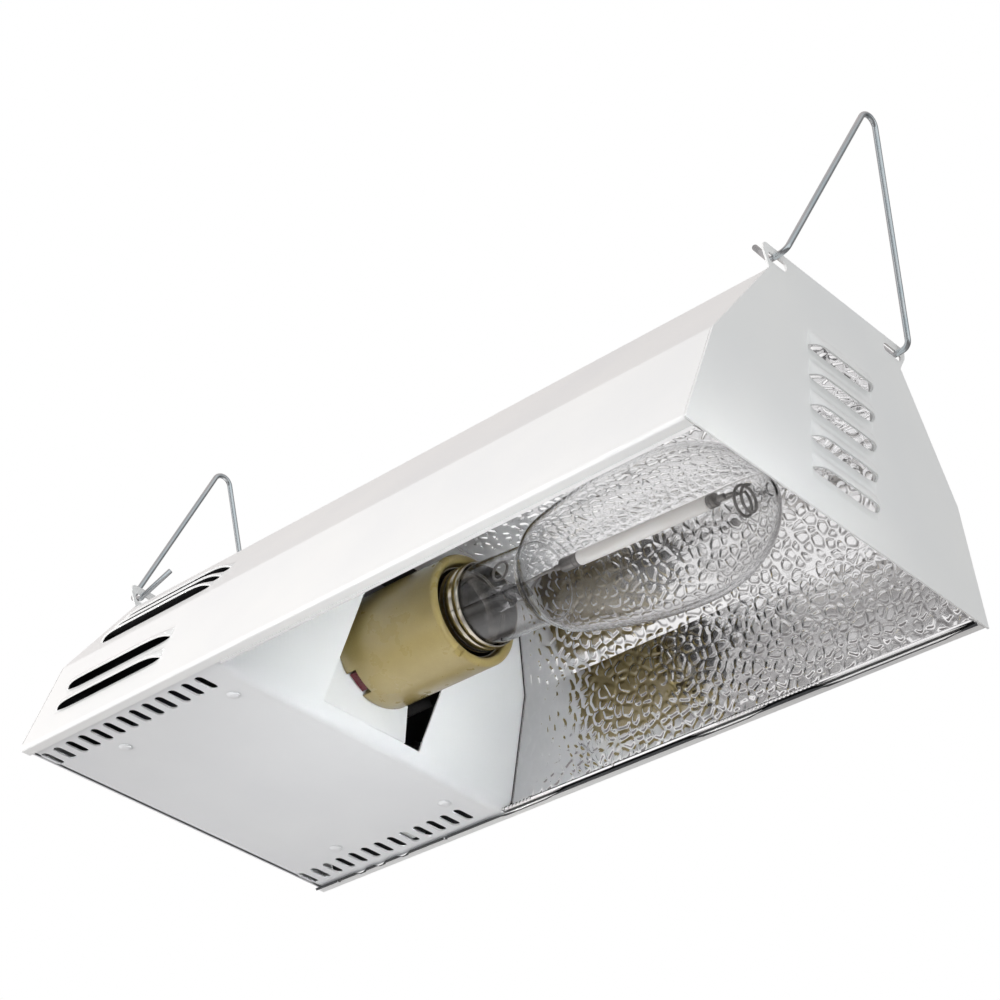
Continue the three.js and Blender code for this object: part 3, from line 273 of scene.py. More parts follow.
class Louvre:
    """A lanced louvre: the sheet is cut along v = v0 and pushed out on the side that way points to."""

    def __init__(self, middle, length, v0, rise, proud, dent, way=1):
        self.middle, self.half, self.v0, self.rise, self.proud, self.dent, self.way = (
            middle, length / 2, v0, rise, proud, dent, way)

    def height(self, u, v):
        """Height of the hood on one side of the cut, or minus the depth of the dent on the other."""
        t = abs(u - self.middle) / self.half
        w = (v - self.v0) * self.way / self.rise
        if t >= 1 or w >= 1 or w <= -0.6:
            return 0.0
        ends = (1 - t**9) ** 0.9
        if w < -1e-6:
            return -self.dent * ends * (1 - (w / 0.6) ** 2) ** 2
        return self.proud * ends * (1 - max(w, 0.0) ** 2) ** 1.3

    def dented(self, u):
        t = abs(u - self.middle) / self.half
        return -self.dent * (1 - t**9) ** 0.9

    def cuts(self, u, v):
        return abs(v - self.v0) < 1e-5 and abs(u - self.middle) < self.half - 1e-5

    def u_lines(self):
        t = np.concatenate([np.linspace(0, 0.7, 6), np.linspace(0.76, 0.96, 6), [0.975, 0.985, 0.993, 1]])
        return [self.middle + side * self.half * x for side in (-1, 1) for x in t]

    def v_lines(self):
        return [self.v0 + self.way * self.rise * w for w in (
            -0.6, -0.45, -0.3, -0.15, 0, 0.12, 0.25, 0.38, 0.5, 0.62, 0.74, 0.86, 1)]


def lanced_grid(us, vs, place, louvres=()):
    """A grid of points with louvres. place(u, v, h) is the point a height h above the surface."""
    points, below, above = [], [], []
    for v in vs:
        low_row, high_row = [], []
        for u in us:
            height = max([louvre.height(u, v) for louvre in louvres], key=abs, default=0.0)
            cut = next((louvre for louvre in louvres if louvre.cuts(u, v)), None)
            points.append(place(u, v, height))
            index = len(points) - 1
            if cut is None:
                low_row.append(index)
                high_row.append(index)
                continue
            points.append(place(u, v, cut.dented(u)))
            pressed = len(points) - 1
            high_row.append(index if cut.way > 0 else pressed)
            low_row.append(pressed if cut.way > 0 else index)
        below.append(low_row)
        above.append(high_row)
    faces = []
    for j in range(len(vs) - 1):
        lower, upper = above[j], below[j + 1]
        for i in range(len(us) - 1):
            faces.append((lower[i], lower[i + 1], upper[i + 1], upper[i]))
    return np.array(points), faces


def polygon(loops, lift):
    """A flat face with holes. Loops are lists of 2-D points, and lift turns an array of them into 3-D ones."""
    flat = [[Vector((float(a), float(b), 0.0)) for a, b in loop] for loop in loops]
    triangles = tessellate_polygon(flat)
    points = lift(np.concatenate([np.asarray(loop, float) for loop in loops]))
    return points, [tuple(t) for t in triangles]


def orient(made, towards):
    """Turns each connected part of an open surface so that it faces the given way on the whole."""
    way = Vector(towards)
    with editing(made) as work:
        bmesh.ops.recalc_face_normals(work, faces=work.faces)
        left = set(work.faces)
        while left:
            front = [left.pop()]
            island = list(front)
            while front:
                for edge in front.pop().edges:
                    new = [face for face in edge.link_faces if face in left]
                    left.difference_update(new)
                    front += new
                    island += new
            if sum(face.normal.dot(way) * face.calc_area() for face in island) < 0:
                bmesh.ops.reverse_faces(work, faces=island)


def stadium(a0, a1, b0, b1, pieces=7):
    """Outline of a slot with round ends, longest along the first coordinate."""
    radius, middle = (b1 - b0) / 2, (b0 + b1) / 2
    out = []
    for centre, start in ((a1 - radius, -math.pi / 2), (a0 + radius, math.pi / 2)):
        for k in range(pieces + 1):
            angle = start + math.pi * k / pieces
            out.append((centre + radius * math.cos(angle), middle + radius * math.sin(angle)))
    return out


def circle(a, b, radius, pieces=28):
    return [
        (a + radius * math.cos(2 * math.pi * k / pieces), b + radius * math.sin(2 * math.pi * k / pieces))
        for k in range(pieces)
    ]


def turned(profile, segments=64, closed=False, shape=None):
    """Surface of revolution about X from (x, radius) points. shape(x, r, angle) may change the radius."""
    points, faces, rings = [], [], []
    for x, r in profile:
        angles = [2 * math.pi * k / segments for k in range(segments)] if r >= 1e-6 else [0.0]
        rings.append(range(len(points), len(points) + len(angles)))
        for angle in angles:
            here = 0.0 if r < 1e-6 else shape(x, r, angle) if shape else r
            points.append((x, here * math.cos(angle), here * math.sin(angle)))
    pairs = list(zip(rings, rings[1:]))
    if closed:
        pairs.append((rings[-1], rings[0]))
    for a, b in pairs:
        for k in range(segments if len(a) + len(b) > 2 else 0):
            n = (k + 1) % segments
            if len(a) == 1:
                faces.append((a[0], b[n], b[k]))
            elif len(b) == 1:
                faces.append((a[k], a[n], b[0]))
            else:
                faces.append((a[k], a[n], b[n], b[k]))
    return np.array(points), faces


def grid_faces(rows, columns):
    index = np.arange(rows * columns).reshape(rows, columns)
    return np.stack([index[:-1, :-1], index[:-1, 1:], index[1:, 1:], index[1:, :-1]], -1).reshape(-1, 4)


def grid_strip(rows):
    """Faces of a strip of rows of two points."""
    return grid_faces(rows, 2)


def ring_faces(rings, sides, closed=False):
    """Faces between rings of points that follow one another."""
    corners = ((0, 0), (0, 1), (1, 1), (1, 0))
    return [
        tuple((i + a) % rings * sides + (k + b) % sides for a, b in corners)
        for i in range(rings if closed else rings - 1)
        for k in range(sides)
    ]


def ring_angles(sides):
    """Cosines and sines of evenly spaced angles, as columns."""
    angles = 2 * math.pi * np.arange(sides)[:, None] / sides
    return np.cos(angles), np.sin(angles)


def tube(path, radius, sides=16):
    """Round wire along a path of 3-D points, with its ends lightly chamfered."""
    p = np.asarray(path, float)
    ways = np.diff(p, axis=0)
    ways /= np.linalg.norm(ways, axis=1)[:, None]
    tangents = np.concatenate([ways[:1], ways[:-1] + ways[1:], ways[-1:]])
    tangents /= np.linalg.norm(tangents, axis=1)[:, None]
    across = np.cross(tangents[0], (0.0, 0.0, 1.0) if abs(tangents[0][2]) < 0.9 else (1.0, 0.0, 0.0))
    frames = []
    for tangent in tangents:
        across = across - tangent * (across @ tangent)
        across = across / np.linalg.norm(across)
        frames.append((across, np.cross(tangent, across)))
    chamfer = min(0.25 * radius, 0.4)
    centres = [p[0], p[0] + tangents[0] * chamfer, *p[1:-1], p[-1] - tangents[-1] * chamfer, p[-1]]
    radii = [radius - chamfer, *[radius] * len(p), radius - chamfer]
    frames = [frames[0], *frames, frames[-1]]
    c, s = ring_angles(sides)
    rings = [centre + r * (c * n + s * b) for centre, r, (n, b) in zip(centres, radii, frames)]
    faces = ring_faces(len(rings), sides)
    last = (len(rings) - 1) * sides
    faces += [tuple(reversed(range(sides))), tuple(range(last, last + sides))]
    return np.concatenate(rings), faces


def block(x0, x1, y0, y1, z0, z1):
    p = [(x, y, z) for x in (x0, x1) for y in (y0, y1) for z in (z0, z1)]
    f = [(0, 1, 3, 2), (4, 6, 7, 5), (0, 4, 5, 1), (2, 3, 7, 6), (0, 2, 6, 4), (1, 5, 7, 3)]
    return np.array(p, float), f


def cut_away(made, *cutters):
    """Subtracts closed meshes from a closed mesh and bakes the result."""
    for cutter in cutters:
        modifier = made.modifiers.new("cut", "BOOLEAN")
        modifier.operation = "DIFFERENCE"
        modifier.solver = "EXACT"
        modifier.object = cutter
    bake_modifiers(made)
    for cutter in cutters:
        bpy.data.objects.remove(cutter)


# ---------------------------------------------------------------- materials


class Tree:
    """A node tree, with short ways to add its nodes. A value given to a socket may be another socket."""

    def __init__(self, owner):
        owner.use_nodes = True
        self.tree = owner.node_tree

    def feed(self, socket, value):
        if isinstance(value, bpy.types.NodeSocket):
            self.tree.links.new(value, socket)
        else:
            socket.default_value = value

    def add(self, kind, inputs=None, **settings):
        node = self.tree.nodes.new("ShaderNode" + kind)
        for key, value in settings.items():
            setattr(node, key, value)
        for key, value in (inputs or {}).items():
            self.feed(node.inputs[key], value)
        return node

    def spread(self, value, low, high, new_low, new_high, **settings):
        inputs = {"Value": value, "From Min": low, "From Max": high, "To Min": new_low, "To Max": new_high}
        return self.add("MapRange", inputs, **settings).outputs["Result"]

    def vectors(self, operation, inputs, output=0):
        return self.add("VectorMath", inputs, operation=operation).outputs[output]

    def numbers(self, operation, first, second):
        return self.add("Math", {0: first, 1: second}, operation=operation).outputs[0]

    def ray(self, kind):
        return self.add("LightPath").outputs[kind]

    def mixed(self, factor, first, second):
        return self.add("MixShader", {"Fac": factor, 1: first.outputs[0], 2: second.outputs[0]}).outputs[0]


class Nodes(Tree):
    """A material's node tree, with the nodes that the finishes share."""

    def __init__(self, name):
        self.material = bpy.data.materials.new(name)
        super().__init__(self.material)
        self.shader = self.tree.nodes["Principled BSDF"]
        self.place = self.add("TexCoord").outputs["Object"]

    def noise(self, feature_mm, detail=3.0, roughness=0.5, stretch=None):
        """Noise whose blobs are about that many millimetres across."""
        place = self.place
        if stretch:
            place = self.add("Mapping", {"Scale": stretch, "Vector": place}).outputs["Vector"]
        inputs = {"Scale": 1000.0 / feature_mm, "Detail": detail, "Roughness": roughness, "Vector": place}
        return self.add("TexNoise", inputs).outputs["Fac"]

    def blend(self, factor, first, second):
        first, second = (v if isinstance(v, bpy.types.NodeSocket) else (*v, 1.0) for v in (first, second))
        return self.add("Mix", {"Factor": factor, 6: first, 7: second}, data_type="RGBA").outputs[2]

    def set(self, **values):
        names = {"color": "Base Color", "rough": "Roughness", "metal": "Metallic", "ior": "IOR",
                 "transmission": "Transmission Weight", "coat": "Coat Weight", "coat_rough": "Coat Roughness",
                 "specular": "Specular IOR Level", "subsurface": "Subsurface Weight", "normal": "Normal",
                 "scatter": "Subsurface Scale", "scatter_by_color": "Subsurface Radius",
                 "glow": "Emission Strength", "glow_color": "Emission Color"}
        for key, value in values.items():
            if isinstance(value, tuple) and key in ("color", "glow_color"):
                value = (*value, 1.0)
            self.feed(self.shader.inputs[names[key]], value)

    def bump(self, height, depth_mm, strength=1.0, base=None):
        inputs = {"Strength": strength, "Distance": depth_mm * MM, "Height": height}
        if base is not None:
            inputs["Normal"] = base
        return self.add("Bump", inputs).outputs["Normal"]

    def show(self, shader):
        output = next(node for node in self.tree.nodes if node.type == "OUTPUT_MATERIAL")
        self.feed(output.inputs["Surface"], shader)


def powder_coat(name, color, dark, rough=(0.30, 0.42)):
    """Semi-gloss baked powder paint: faint orange peel, fine grain and slight unevenness of tone."""
    n = Nodes(name)
    broad = n.noise(70, 3)
    grain = n.noise(2.2, 4, 0.6)
    tone = n.blend(n.spread(broad, 0.35, 0.7, 0, 1), color, dark)
    specks = n.spread(n.noise(0.9, 2, 0.6), 0.66, 0.74, 0, 0.12)
    n.set(color=n.blend(specks, tone, tuple(c * 0.72 for c in color)))
    n.set(rough=n.spread(grain, 0.3, 0.7, *rough), specular=0.5)
    peel = n.bump(n.noise(1.6, 2, 0.55), 0.02, 0.7)
    n.set(normal=n.bump(n.noise(14, 2), 0.05, 0.5, peel))
    return n.material


def polished_sheet(name, color, rough=(0.05, 0.11)):
    """Bright anodised reflector sheet with rolling haze and hairline scratches."""
    n = Nodes(name)
    haze = n.noise(9, 4, 0.6)
    hairs = n.noise(0.7, 3, 0.6, (0.06, 1, 1))
    n.set(color=n.blend(n.spread(haze, 0.3, 0.75, 0, 1), color, tuple(c * 0.93 for c in color)))
    n.set(metal=1.0, rough=n.spread(haze, 0.3, 0.7, *rough))
    n.set(normal=n.bump(hairs, 0.004, 0.5))
    return n.material


def plated_wire(name, color, tint, rough=(0.12, 0.28), feature=3.0):
    """Bright zinc or nickel plate, drawn along the piece, with a little uneven tint."""
    n = Nodes(name)
    tone = n.noise(feature * 4, 3, 0.6)
    fine = n.noise(feature * 0.25, 4, 0.65)
    n.set(color=n.blend(n.spread(tone, 0.35, 0.7, 0, 1), color, tint))
    n.set(metal=1.0, rough=n.spread(fine, 0.3, 0.7, *rough))
    n.set(normal=n.bump(fine, 0.015, 0.35))
    return n.material


def glazed(name, color, shade, bright):
    """Tan glazed porcelain: speckled body colour under a clear uneven glaze."""
    n = Nodes(name)
    cloud = n.noise(16, 4, 0.6)
    grain = n.noise(0.9, 3, 0.7)
    tone = n.blend(n.spread(cloud, 0.3, 0.7, 0, 1), color, shade)
    tone = n.blend(n.spread(grain, 0.55, 0.75, 0, 0.35), tone, bright)
    tone = n.blend(n.spread(n.noise(0.6, 2, 0.6), 0.68, 0.72, 0, 0.5), tone, tuple(c * 0.55 for c in shade))
    n.set(color=tone, rough=n.spread(cloud, 0.3, 0.7, 0.24, 0.36), coat=0.4, coat_rough=0.10)
    n.set(normal=n.bump(n.noise(7, 3, 0.5), 0.06, 0.6, n.bump(grain, 0.01, 0.4)))
    return n.material


def plastic(name, color, rough=(0.35, 0.5), grain=1.2):
    n = Nodes(name)
    tone = n.noise(grain * 12, 3)
    n.set(color=n.blend(n.spread(tone, 0.3, 0.7, 0, 1), color, tuple(c * 0.82 for c in color)))
    n.set(rough=n.spread(n.noise(grain, 3), 0.3, 0.7, *rough))
    n.set(normal=n.bump(n.noise(grain * 0.5, 2), 0.012, 0.5))
    return n.material


def clear_glass(name, tint, edge, rough=0.0):
    """Thin blown glass, greyer where it is seen edge on. Light passes through it to what it encloses."""
    n = Nodes(name)
    facing = n.add("LayerWeight").outputs["Facing"]
    n.set(color=n.blend(n.spread(facing, 0.5, 0.95, 0, 1), tint, edge), transmission=1.0, rough=rough, ior=1.5)
    n.set(normal=n.bump(n.noise(22, 2, 0.4), 0.05, 0.35))
    clear = n.add("BsdfTransparent", {"Color": (0.93, 0.94, 0.94, 1)})
    n.show(n.mixed(n.ray("Is Shadow Ray"), n.shader, clear))
    return n.material


def frosted_ceramic(name, color):
    """Translucent alumina. A faint glow stands in for the light that it passes on."""
    n = Nodes(name)
    n.set(color=n.blend(n.noise(5, 3), color, tuple(c * 0.9 for c in color)))
    warm = (1.0, 0.97, 0.94)
    n.set(rough=0.4, coat=0.15, subsurface=0.8, scatter=0.006, scatter_by_color=warm, glow=0.20, glow_color=warm)
    n.set(normal=n.bump(n.noise(0.5, 2), 0.005, 0.5))
    return n.material


def wave(n, direction, shape, pitch_mm, distortion=0.0):
    """Even bands across one axis, a given distance apart."""
    inputs = {"Scale": 1000 / pitch_mm / 20, "Distortion": distortion, "Vector": n.place}
    settings = {"wave_type": "BANDS", "bands_direction": direction, "wave_profile": shape}
    return n.add("TexWave", inputs, **settings).outputs["Fac"]


def winding(name, color, dark):
    """Layers of varnished magnet wire, seen as fine level turns."""
    n = Nodes(name)
    turns = wave(n, "Z", "SIN", 1.1, 0.3)
    n.set(color=n.blend(turns, dark, color), metal=0.6, rough=0.35, normal=n.bump(turns, 0.2, 0.8))
    return n.material


def laminations(name, color):
    n = Nodes(name)
    n.set(color=n.blend(n.noise(8, 4), color, tuple(c * 0.6 for c in color)), metal=0.7, rough=0.5)
    n.set(normal=n.bump(wave(n, "Y", "SAW", 0.6), 0.08, 0.7))
    return n.material


WHITE = powder_coat("white_paint", (0.86, 0.86, 0.85), (0.82, 0.825, 0.825))
# The cover has the housing's white paint, made darker and bluer here as painted shade for the bay's underside.
COVER_WHITE_SHADED = powder_coat("cover_paint", (0.78, 0.79, 0.80), (0.75, 0.76, 0.775))
# The insides of the sheets are near-black: painted shade for the dark hollows seen through the slots and louvres.
INSIDE_PAINTED_SHADE = plastic("inside_painted_shade", (0.045, 0.047, 0.05), (0.5, 0.7))
HAMMERED = polished_sheet("hammered_aluminium", (0.93, 0.93, 0.935))
ZINC = plated_wire("zinc_wire", (0.72, 0.75, 0.77), (0.60, 0.68, 0.72))
FASTENER = plated_wire("zinc_fastener", (0.66, 0.68, 0.69), (0.60, 0.60, 0.55), (0.25, 0.4))
NICKEL = plated_wire("nickel", (0.74, 0.71, 0.64), (0.50, 0.45, 0.34), (0.10, 0.2))
BRASS = plated_wire("brass_contact", (0.72, 0.56, 0.28), (0.55, 0.40, 0.18), (0.2, 0.35))
TUNGSTEN = plated_wire("lamp_metal", (0.36, 0.35, 0.34), (0.25, 0.24, 0.23), (0.25, 0.4), 1.0)
PORCELAIN = glazed("porcelain", (0.345, 0.272, 0.105), (0.30, 0.232, 0.085), (0.44, 0.37, 0.165))
GLASS = clear_glass("lamp_glass", (0.985, 0.985, 0.985), (0.80, 0.81, 0.82))
STEM_GLASS = clear_glass("stem_glass", (0.66, 0.66, 0.68), (0.45, 0.45, 0.47), 0.05)
BLACK_GLASS = plastic("black_glass", (0.012, 0.012, 0.014), (0.08, 0.15))
ALUMINA = frosted_ceramic("arc_tube_ceramic", (0.93, 0.90, 0.87))
# Dark laminated steel, made darker still as painted shade for the ballast bay seen through the slots.
CORE_STEEL_SHADED = laminations("core_steel", (0.11, 0.12, 0.13))
WINDING = winding("winding", (0.42, 0.17, 0.06), (0.10, 0.04, 0.02))
CAN = plated_wire("capacitor_can", (0.62, 0.64, 0.65), (0.52, 0.54, 0.55), (0.3, 0.45), 6)
POTTING = plastic("potting", (0.03, 0.033, 0.04))
CONNECTOR = plastic("connector_plastic", (0.62, 0.38, 0.03))
BUSHING = plastic("bushing_nylon", (0.02, 0.02, 0.022), (0.45, 0.6))
GREEN = plated_wire("green_screw", (0.05, 0.30, 0.12), (0.04, 0.2, 0.08), (0.25, 0.4))
SLEEVE = plastic("red_sleeve", (0.13, 0.006, 0.016), (0.25, 0.35))
INSULATION = {
    "lead_red": plastic("red_insulation", (0.22, 0.012, 0.012), (0.3, 0.4)),
    "lead_white": plastic("white_insulation", (0.78, 0.76, 0.72), (0.3, 0.4)),
    "lead_black": plastic("black_insulation", (0.015, 0.015, 0.017), (0.3, 0.4)),
    "lead_blue": plastic("blue_insulation", (0.03, 0.09, 0.28), (0.3, 0.4)),
    "lead_yellow": plastic("yellow_insulation", (0.55, 0.36, 0.03), (0.3, 0.4)),
}


# ---------------------------------------------------------------- housing shell

BEND_RADIUS = 2.2


def housing_path():
    """Outside of the shell, from lip to lip over the top; its left-hand side is outwards."""
    lip = RIM_HALF_WIDTH - LIP_WIDTH
    corners = [(-lip, 0.0), *WALL, (lip, 0.0)]
    return Path2D(rounded_path(corners, [0, 1.6, BEND_RADIUS, BEND_RADIUS, BEND_RADIUS, BEND_RADIUS, 1.6, 0]))


# Heights, middle along the housing, length, rise, how far the hood stands out and the dent goes in.
WALL_LOUVRES = (20.5, 35.0), -163.5, 85, 7.4, 4.1, 1.3
SHOULDER_LOUVRES = (70.5, 79.0, 87.5), -160, 90, 6.2, 3.8, 1.0


def make_shell():
    path = housing_path()
    louvres = []
    for heights, middle, length, *depths in WALL_LOUVRES, SHOULDER_LOUVRES:
        for z in heights:
            s = path.where(1, z, 0, path.length / 2)
            louvres.append(Louvre(middle, length, s, *depths))
            louvres.append(Louvre(middle, length, path.length - s, *depths, -1))
    end = HALF_LENGTH - SHEET - GAP
    us = lines(-end, end, 20, *[u for louvre in louvres for u in louvre.u_lines()])
    vs = lines(0.0, path.length, 9, *path.at, *[v for louvre in louvres for v in louvre.v_lines()])

    def place(u, v, h):
        (y, z), (ny, nz) = path.point(v), path.normal(v)
        return (u, y + h * ny, z + h * nz)

    made = new_object("housing_shell_sheet", *lanced_grid(us, vs, place, louvres), WHITE)
    thicken(made, SHEET, 0.18, inside=INSIDE_PAINTED_SHADE)
    settle(made, flat_faces=True)
    piece(made, ["housing_shell"])


# ---------------------------------------------------------------- end plates

STRIP_TOP = 129.2
STRIP_HALF_WIDTH = 53.6
PIVOT_HEIGHT = 126.0
SLOT_TOP_DROP = 1.05
SLOT_BOTTOM_DROP = 5.8
# How far the flanges stop short of the foot and the head of the wall and of the shoulder.
FLANGE_ENDS = (6.5, 4.0), (4.0, 9.0)


def plate_outline(bottom):
    foot = RIM_HALF_WIDTH - (RIM_HALF_WIDTH - BEND_HALF_WIDTH) / BEND_HEIGHT * bottom
    half = [
        (foot, bottom),
        (BEND_HALF_WIDTH, BEND_HEIGHT),
        (TOP_HALF_WIDTH, TOP_HEIGHT),
        (49.4, TOP_HEIGHT + 1.4),
        (STRIP_HALF_WIDTH - 0.3, STRIP_TOP - 5.2),
        (STRIP_HALF_WIDTH, STRIP_TOP),
        (0.0, STRIP_TOP),
    ]
    right = rounded_path(half, [0, 2.2, 1.2, 1.2, 1.5, 3.2, 0], 4)[:-1]
    left = [(-y, z) for y, z in right[::-1]]
    return [tuple(p) for p in right] + left


def hanger_slots():
    slot = stadium(36.5, 50.3, PIVOT_HEIGHT - SLOT_BOTTOM_DROP, PIVOT_HEIGHT - SLOT_TOP_DROP)
    return [slot, [(-y, z) for y, z in reversed(slot)]]


def plate_flanges(inner_x, way):
    """Flanges that turn in from a plate, a gap inside the shell, as open strips to be thickened."""
    parts = []
    for side in (1, -1):
        for foot, head, (start, short) in zip(WALL, WALL[1:], FLANGE_ENDS):
            foot, head = np.array(foot), np.array(head)
            length = np.linalg.norm(head - foot)
            along = (head - foot) / length
            inward = np.array([along[1], -along[0]]) * (SHEET + GAP)
            points = []
            for depth, trim in ((0.0, 0.0), (9.0, 0.0), (9.8, 3.0)):
                for s in (start + trim, length - short - trim):
                    y, z = foot + along * s + inward
                    points.append((inner_x - way * depth, side * y, z))
            parts.append((points, grid_strip(3)))
    return join_parts(parts)


def make_flanges(name, inner_x, way):
    made = new_object(name, *plate_flanges(inner_x, way), WHITE)
    thicken(made, 0.8, 0.15, 0.0)
    settle(made, outward=True)
    piece(made)


def at_x(x):
    """Turns (y, z) points into points at one x."""
    return lambda p: np.stack([np.full(len(p), x), p[:, 0], p[:, 1]], 1)


def make_lamp_end_plate():
    x = HALF_LENGTH
    louvres = [Louvre(0.8, 47, 20.5 + 16.8 * k, 9.5, 4.7, 1.2) for k in range(5)]
    u0, u1, v0, v1 = -24.5, 26.0, 13.0, 99.0
    us = lines(u0, u1, 3, *[u for louvre in louvres for u in louvre.u_lines()])
    vs = lines(v0, v1, 3, *[v for louvre in louvres for v in louvre.v_lines()])
    patch = lanced_grid(us, vs, lambda u, v, h: (x + h, u, v), louvres)
    border = [(u, v0) for u in us] + [(u1, v) for v in vs[1:]]
    border += [(u, v1) for u in us[-2::-1]] + [(u0, v) for v in vs[-2:0:-1]]
    flat = polygon([plate_outline(0.0), *hanger_slots(), border], at_x(x))
    part = join_parts([flat, patch])
    nodes = ["lamp_end_plate"]
    add_sheet("lamp_end_plate_sheet", part, WHITE, nodes, (1, 0, 0), 0.3, sharp=35.0, flat_faces=True)
    make_flanges("lamp_end_plate_flanges", HALF_LENGTH - SHEET, 1)


INLET = (30.0, 45.0, 11.1)
GROUND = (-34.0, 26.0, 2.4)


def cut_level(made, height):
    """Cuts a mesh along a level, so that its faces above can take another material than those below."""
    with editing(made) as work:
        everything = [*work.verts, *work.edges, *work.faces]
        bmesh.ops.bisect_plane(work, geom=everything, plane_co=(0, 0, height * MM), plane_no=(0, 0, 1))


def make_ballast_end_plate():
    holes = [*hanger_slots(), circle(*INLET), circle(*GROUND, 16)]
    part = polygon([plate_outline(5.0), *holes], at_x(-HALF_LENGTH))
    add_sheet("ballast_end_plate_sheet", part, WHITE, ["ballast_end_plate"], (-1, 0, 0), 0.3,
              inside=INSIDE_PAINTED_SHADE, sharp=35.0, cut=TOP_HEIGHT, flat_faces=True)
    make_flanges("ballast_end_plate_flanges", -HALF_LENGTH + SHEET, -1)


# ---------------------------------------------------------------- ballast cover

PAN_LEVEL = SHEET + GAP
PAN_END = -223.0
COVER_INSET = SHEET + GAP + 0.8 + GAP
VENT_SLOTS = 13
VENT_FIRST = -218.6
VENT_PITCH = 10.175
VENT_LENGTH = 13.8
VENT_WIDTH = 5.2
VENT_Y = 90.0
COVER_RIM = 1.2
COVER_TOP = 111.0
OPENING = (-34.0, 33.5, 7.5, 84.0)
TAB = (-33.5, 23.2, 92.0)
TAB_FACE = -73.3


def partition_x(z):
    return PARTITION_FOOT + z * PARTITION_SLOPE


def wall_inside(inset):
    """The housing's section moved inwards, as a list of (y, z)."""
    sides = []
    for (y0, z0), (y1, z1) in zip(WALL, WALL[1:]):
        length = math.hypot(y1 - y0, z1 - z0)
        ny, nz = (z1 - z0) / length, -(y1 - y0) / length
        sides.append(((y0 + ny * inset, z0 + nz * inset), (y1 - y0, z1 - z0)))
    corners = []
    for (p, d), (q, e) in zip(sides, sides[1:]):
        cross = d[0] * e[1] - d[1] * e[0]
        t = ((q[0] - p[0]) * e[1] - (q[1] - p[1]) * e[0]) / cross
        corners.append((p[0] + d[0] * t, p[1] + d[1] * t))
    first = sides[0]
    return first[0], corners


def half_width(z, inset):
    """Half the housing's inside width at a height, a distance in from the outside."""
    start, corners = wall_inside(inset)
    (y0, z0), (y1, z1) = start, corners[0]
    if z <= z0:
        return -(y0 + (y1 - y0) / (z1 - z0) * (z - z0))
    ys, zs = zip(start, *corners[:2])
    return -float(np.interp(z, zs, ys))


def make_cover():
    low = PAN_LEVEL
    # The bend between the pan and the partition, as (x, z) on the lower and front face.
    bend = rounded_path([(PAN_END + 30, low), (partition_x(low), low), (partition_x(100), 100)], 9.0, 10)[1:-1]
    foot = bend[-1][1]
    width = half_width(low, COVER_INSET)
    pan = [(PAN_END, -width), (bend[0][0], -width), (bend[0][0], width), (PAN_END, width)]
    slots = [
        [(b, a) for a, b in stadium(y - VENT_LENGTH / 2, y + VENT_LENGTH / 2, x - VENT_WIDTH / 2, x + VENT_WIDTH / 2)]
        for x in VENT_FIRST + VENT_PITCH * np.arange(VENT_SLOTS)
        for y in (-VENT_Y, VENT_Y)
    ]
    parts = [polygon([pan, *slots], lambda p: np.stack([p[:, 0], p[:, 1], np.full(len(p), low)], 1))]
    widths = [half_width(z, COVER_INSET) - COVER_RIM * k / (len(bend) - 1) for k, (x, z) in enumerate(bend)]
    parts.append((
        [(x, side * w, z) for (x, z), w in zip(bend, widths) for side in (-1, 1)],
        grid_strip(len(bend)),
    ))

    def section(distance):
        """Outline of the partition at a distance in from the cover's edge, from foot to foot."""
        corners = wall_inside(COVER_INSET + distance)[1]
        half = half_width(foot, COVER_INSET + distance)
        return [(y, min(z, COVER_TOP - distance)) for y, z in [(-half, foot), *corners, (half, foot)]]

    y0, y1, z0, z1 = OPENING
    opening = rounded_path([(0, z0), (y1, z0), (y1, z1), (y0, z1), (y0, z0), (0, z0)], 1.2, 3)[1:-1]
    lift = lambda p: np.stack([partition_x(p[:, 1]), p[:, 0], p[:, 1]], 1)
    parts.append(polygon([section(COVER_RIM), opening], lift))
    # The rounded rim, and the flange behind it.
    angles = [math.radians(90 * k / 5) for k in range(6)]
    rings = [(section(COVER_RIM * (1 - math.sin(a))), COVER_RIM * (1 - math.cos(a))) for a in angles]
    rings.append((section(0), 11.0))
    rim = [(partition_x(z) - depth, y, z) for ring, depth in rings for y, z in ring]
    parts.append((rim, grid_faces(len(rings), len(rings[0][0]))))
    nodes = ["ballast_cover"]
    add_sheet("ballast_cover_sheet", join_parts(parts), COVER_WHITE_SHADED, nodes, (0.5, 0, -0.85), 0.25,
              inside=INSIDE_PAINTED_SHADE, flat_faces=True)
    # The end flange and the lampholder's tab are of the same sheet, but meshes of their own.
    turn = rounded_path([(PAN_END + 3, low), (PAN_END, low), (PAN_END, 13.0)], 1.2, 4)
    points = [(x, side * (width - 1.0), z) for x, z in turn for side in (-1, 1)]
    add_sheet("ballast_cover_end_flange", (points, grid_strip(len(turn))), COVER_WHITE_SHADED, (), (-1, 0, 0), 0.2)
    make_tab()


def make_tab():
    y0, y1, top = TAB
    foot = OPENING[2] + 0.6
    outline = [(0, foot), (y1, foot), (y1, top), (y0, top), (y0, foot), (0, foot)]
    outline = rounded_path(outline, [0, 0.3, 2.0, 2.0, 0.3, 0], 4)[:-1]
    holes = [circle(12, LAMP_HEIGHT - 16, 2.3, 14), circle(-12, LAMP_HEIGHT + 16, 2.3, 14), circle(0, LAMP_HEIGHT, 10)]
    part = polygon([outline, *holes], at_x(TAB_FACE))
    add_sheet("lampholder_tab", part, COVER_WHITE_SHADED, (), (1, 0, 0), 0.2)


# ---------------------------------------------------------------- reflector

REFLECTOR_TOP = 102.8
REFLECTOR_END = 221.8
REFLECTOR_INSET = 3.0
REFLECTOR_FLANGE_EDGE = 98.0
PEBBLE = 6.7
PEBBLE_HEIGHT = 0.19
PEBBLE_RIM = 1.15
PEBBLE_STEP = 0.65


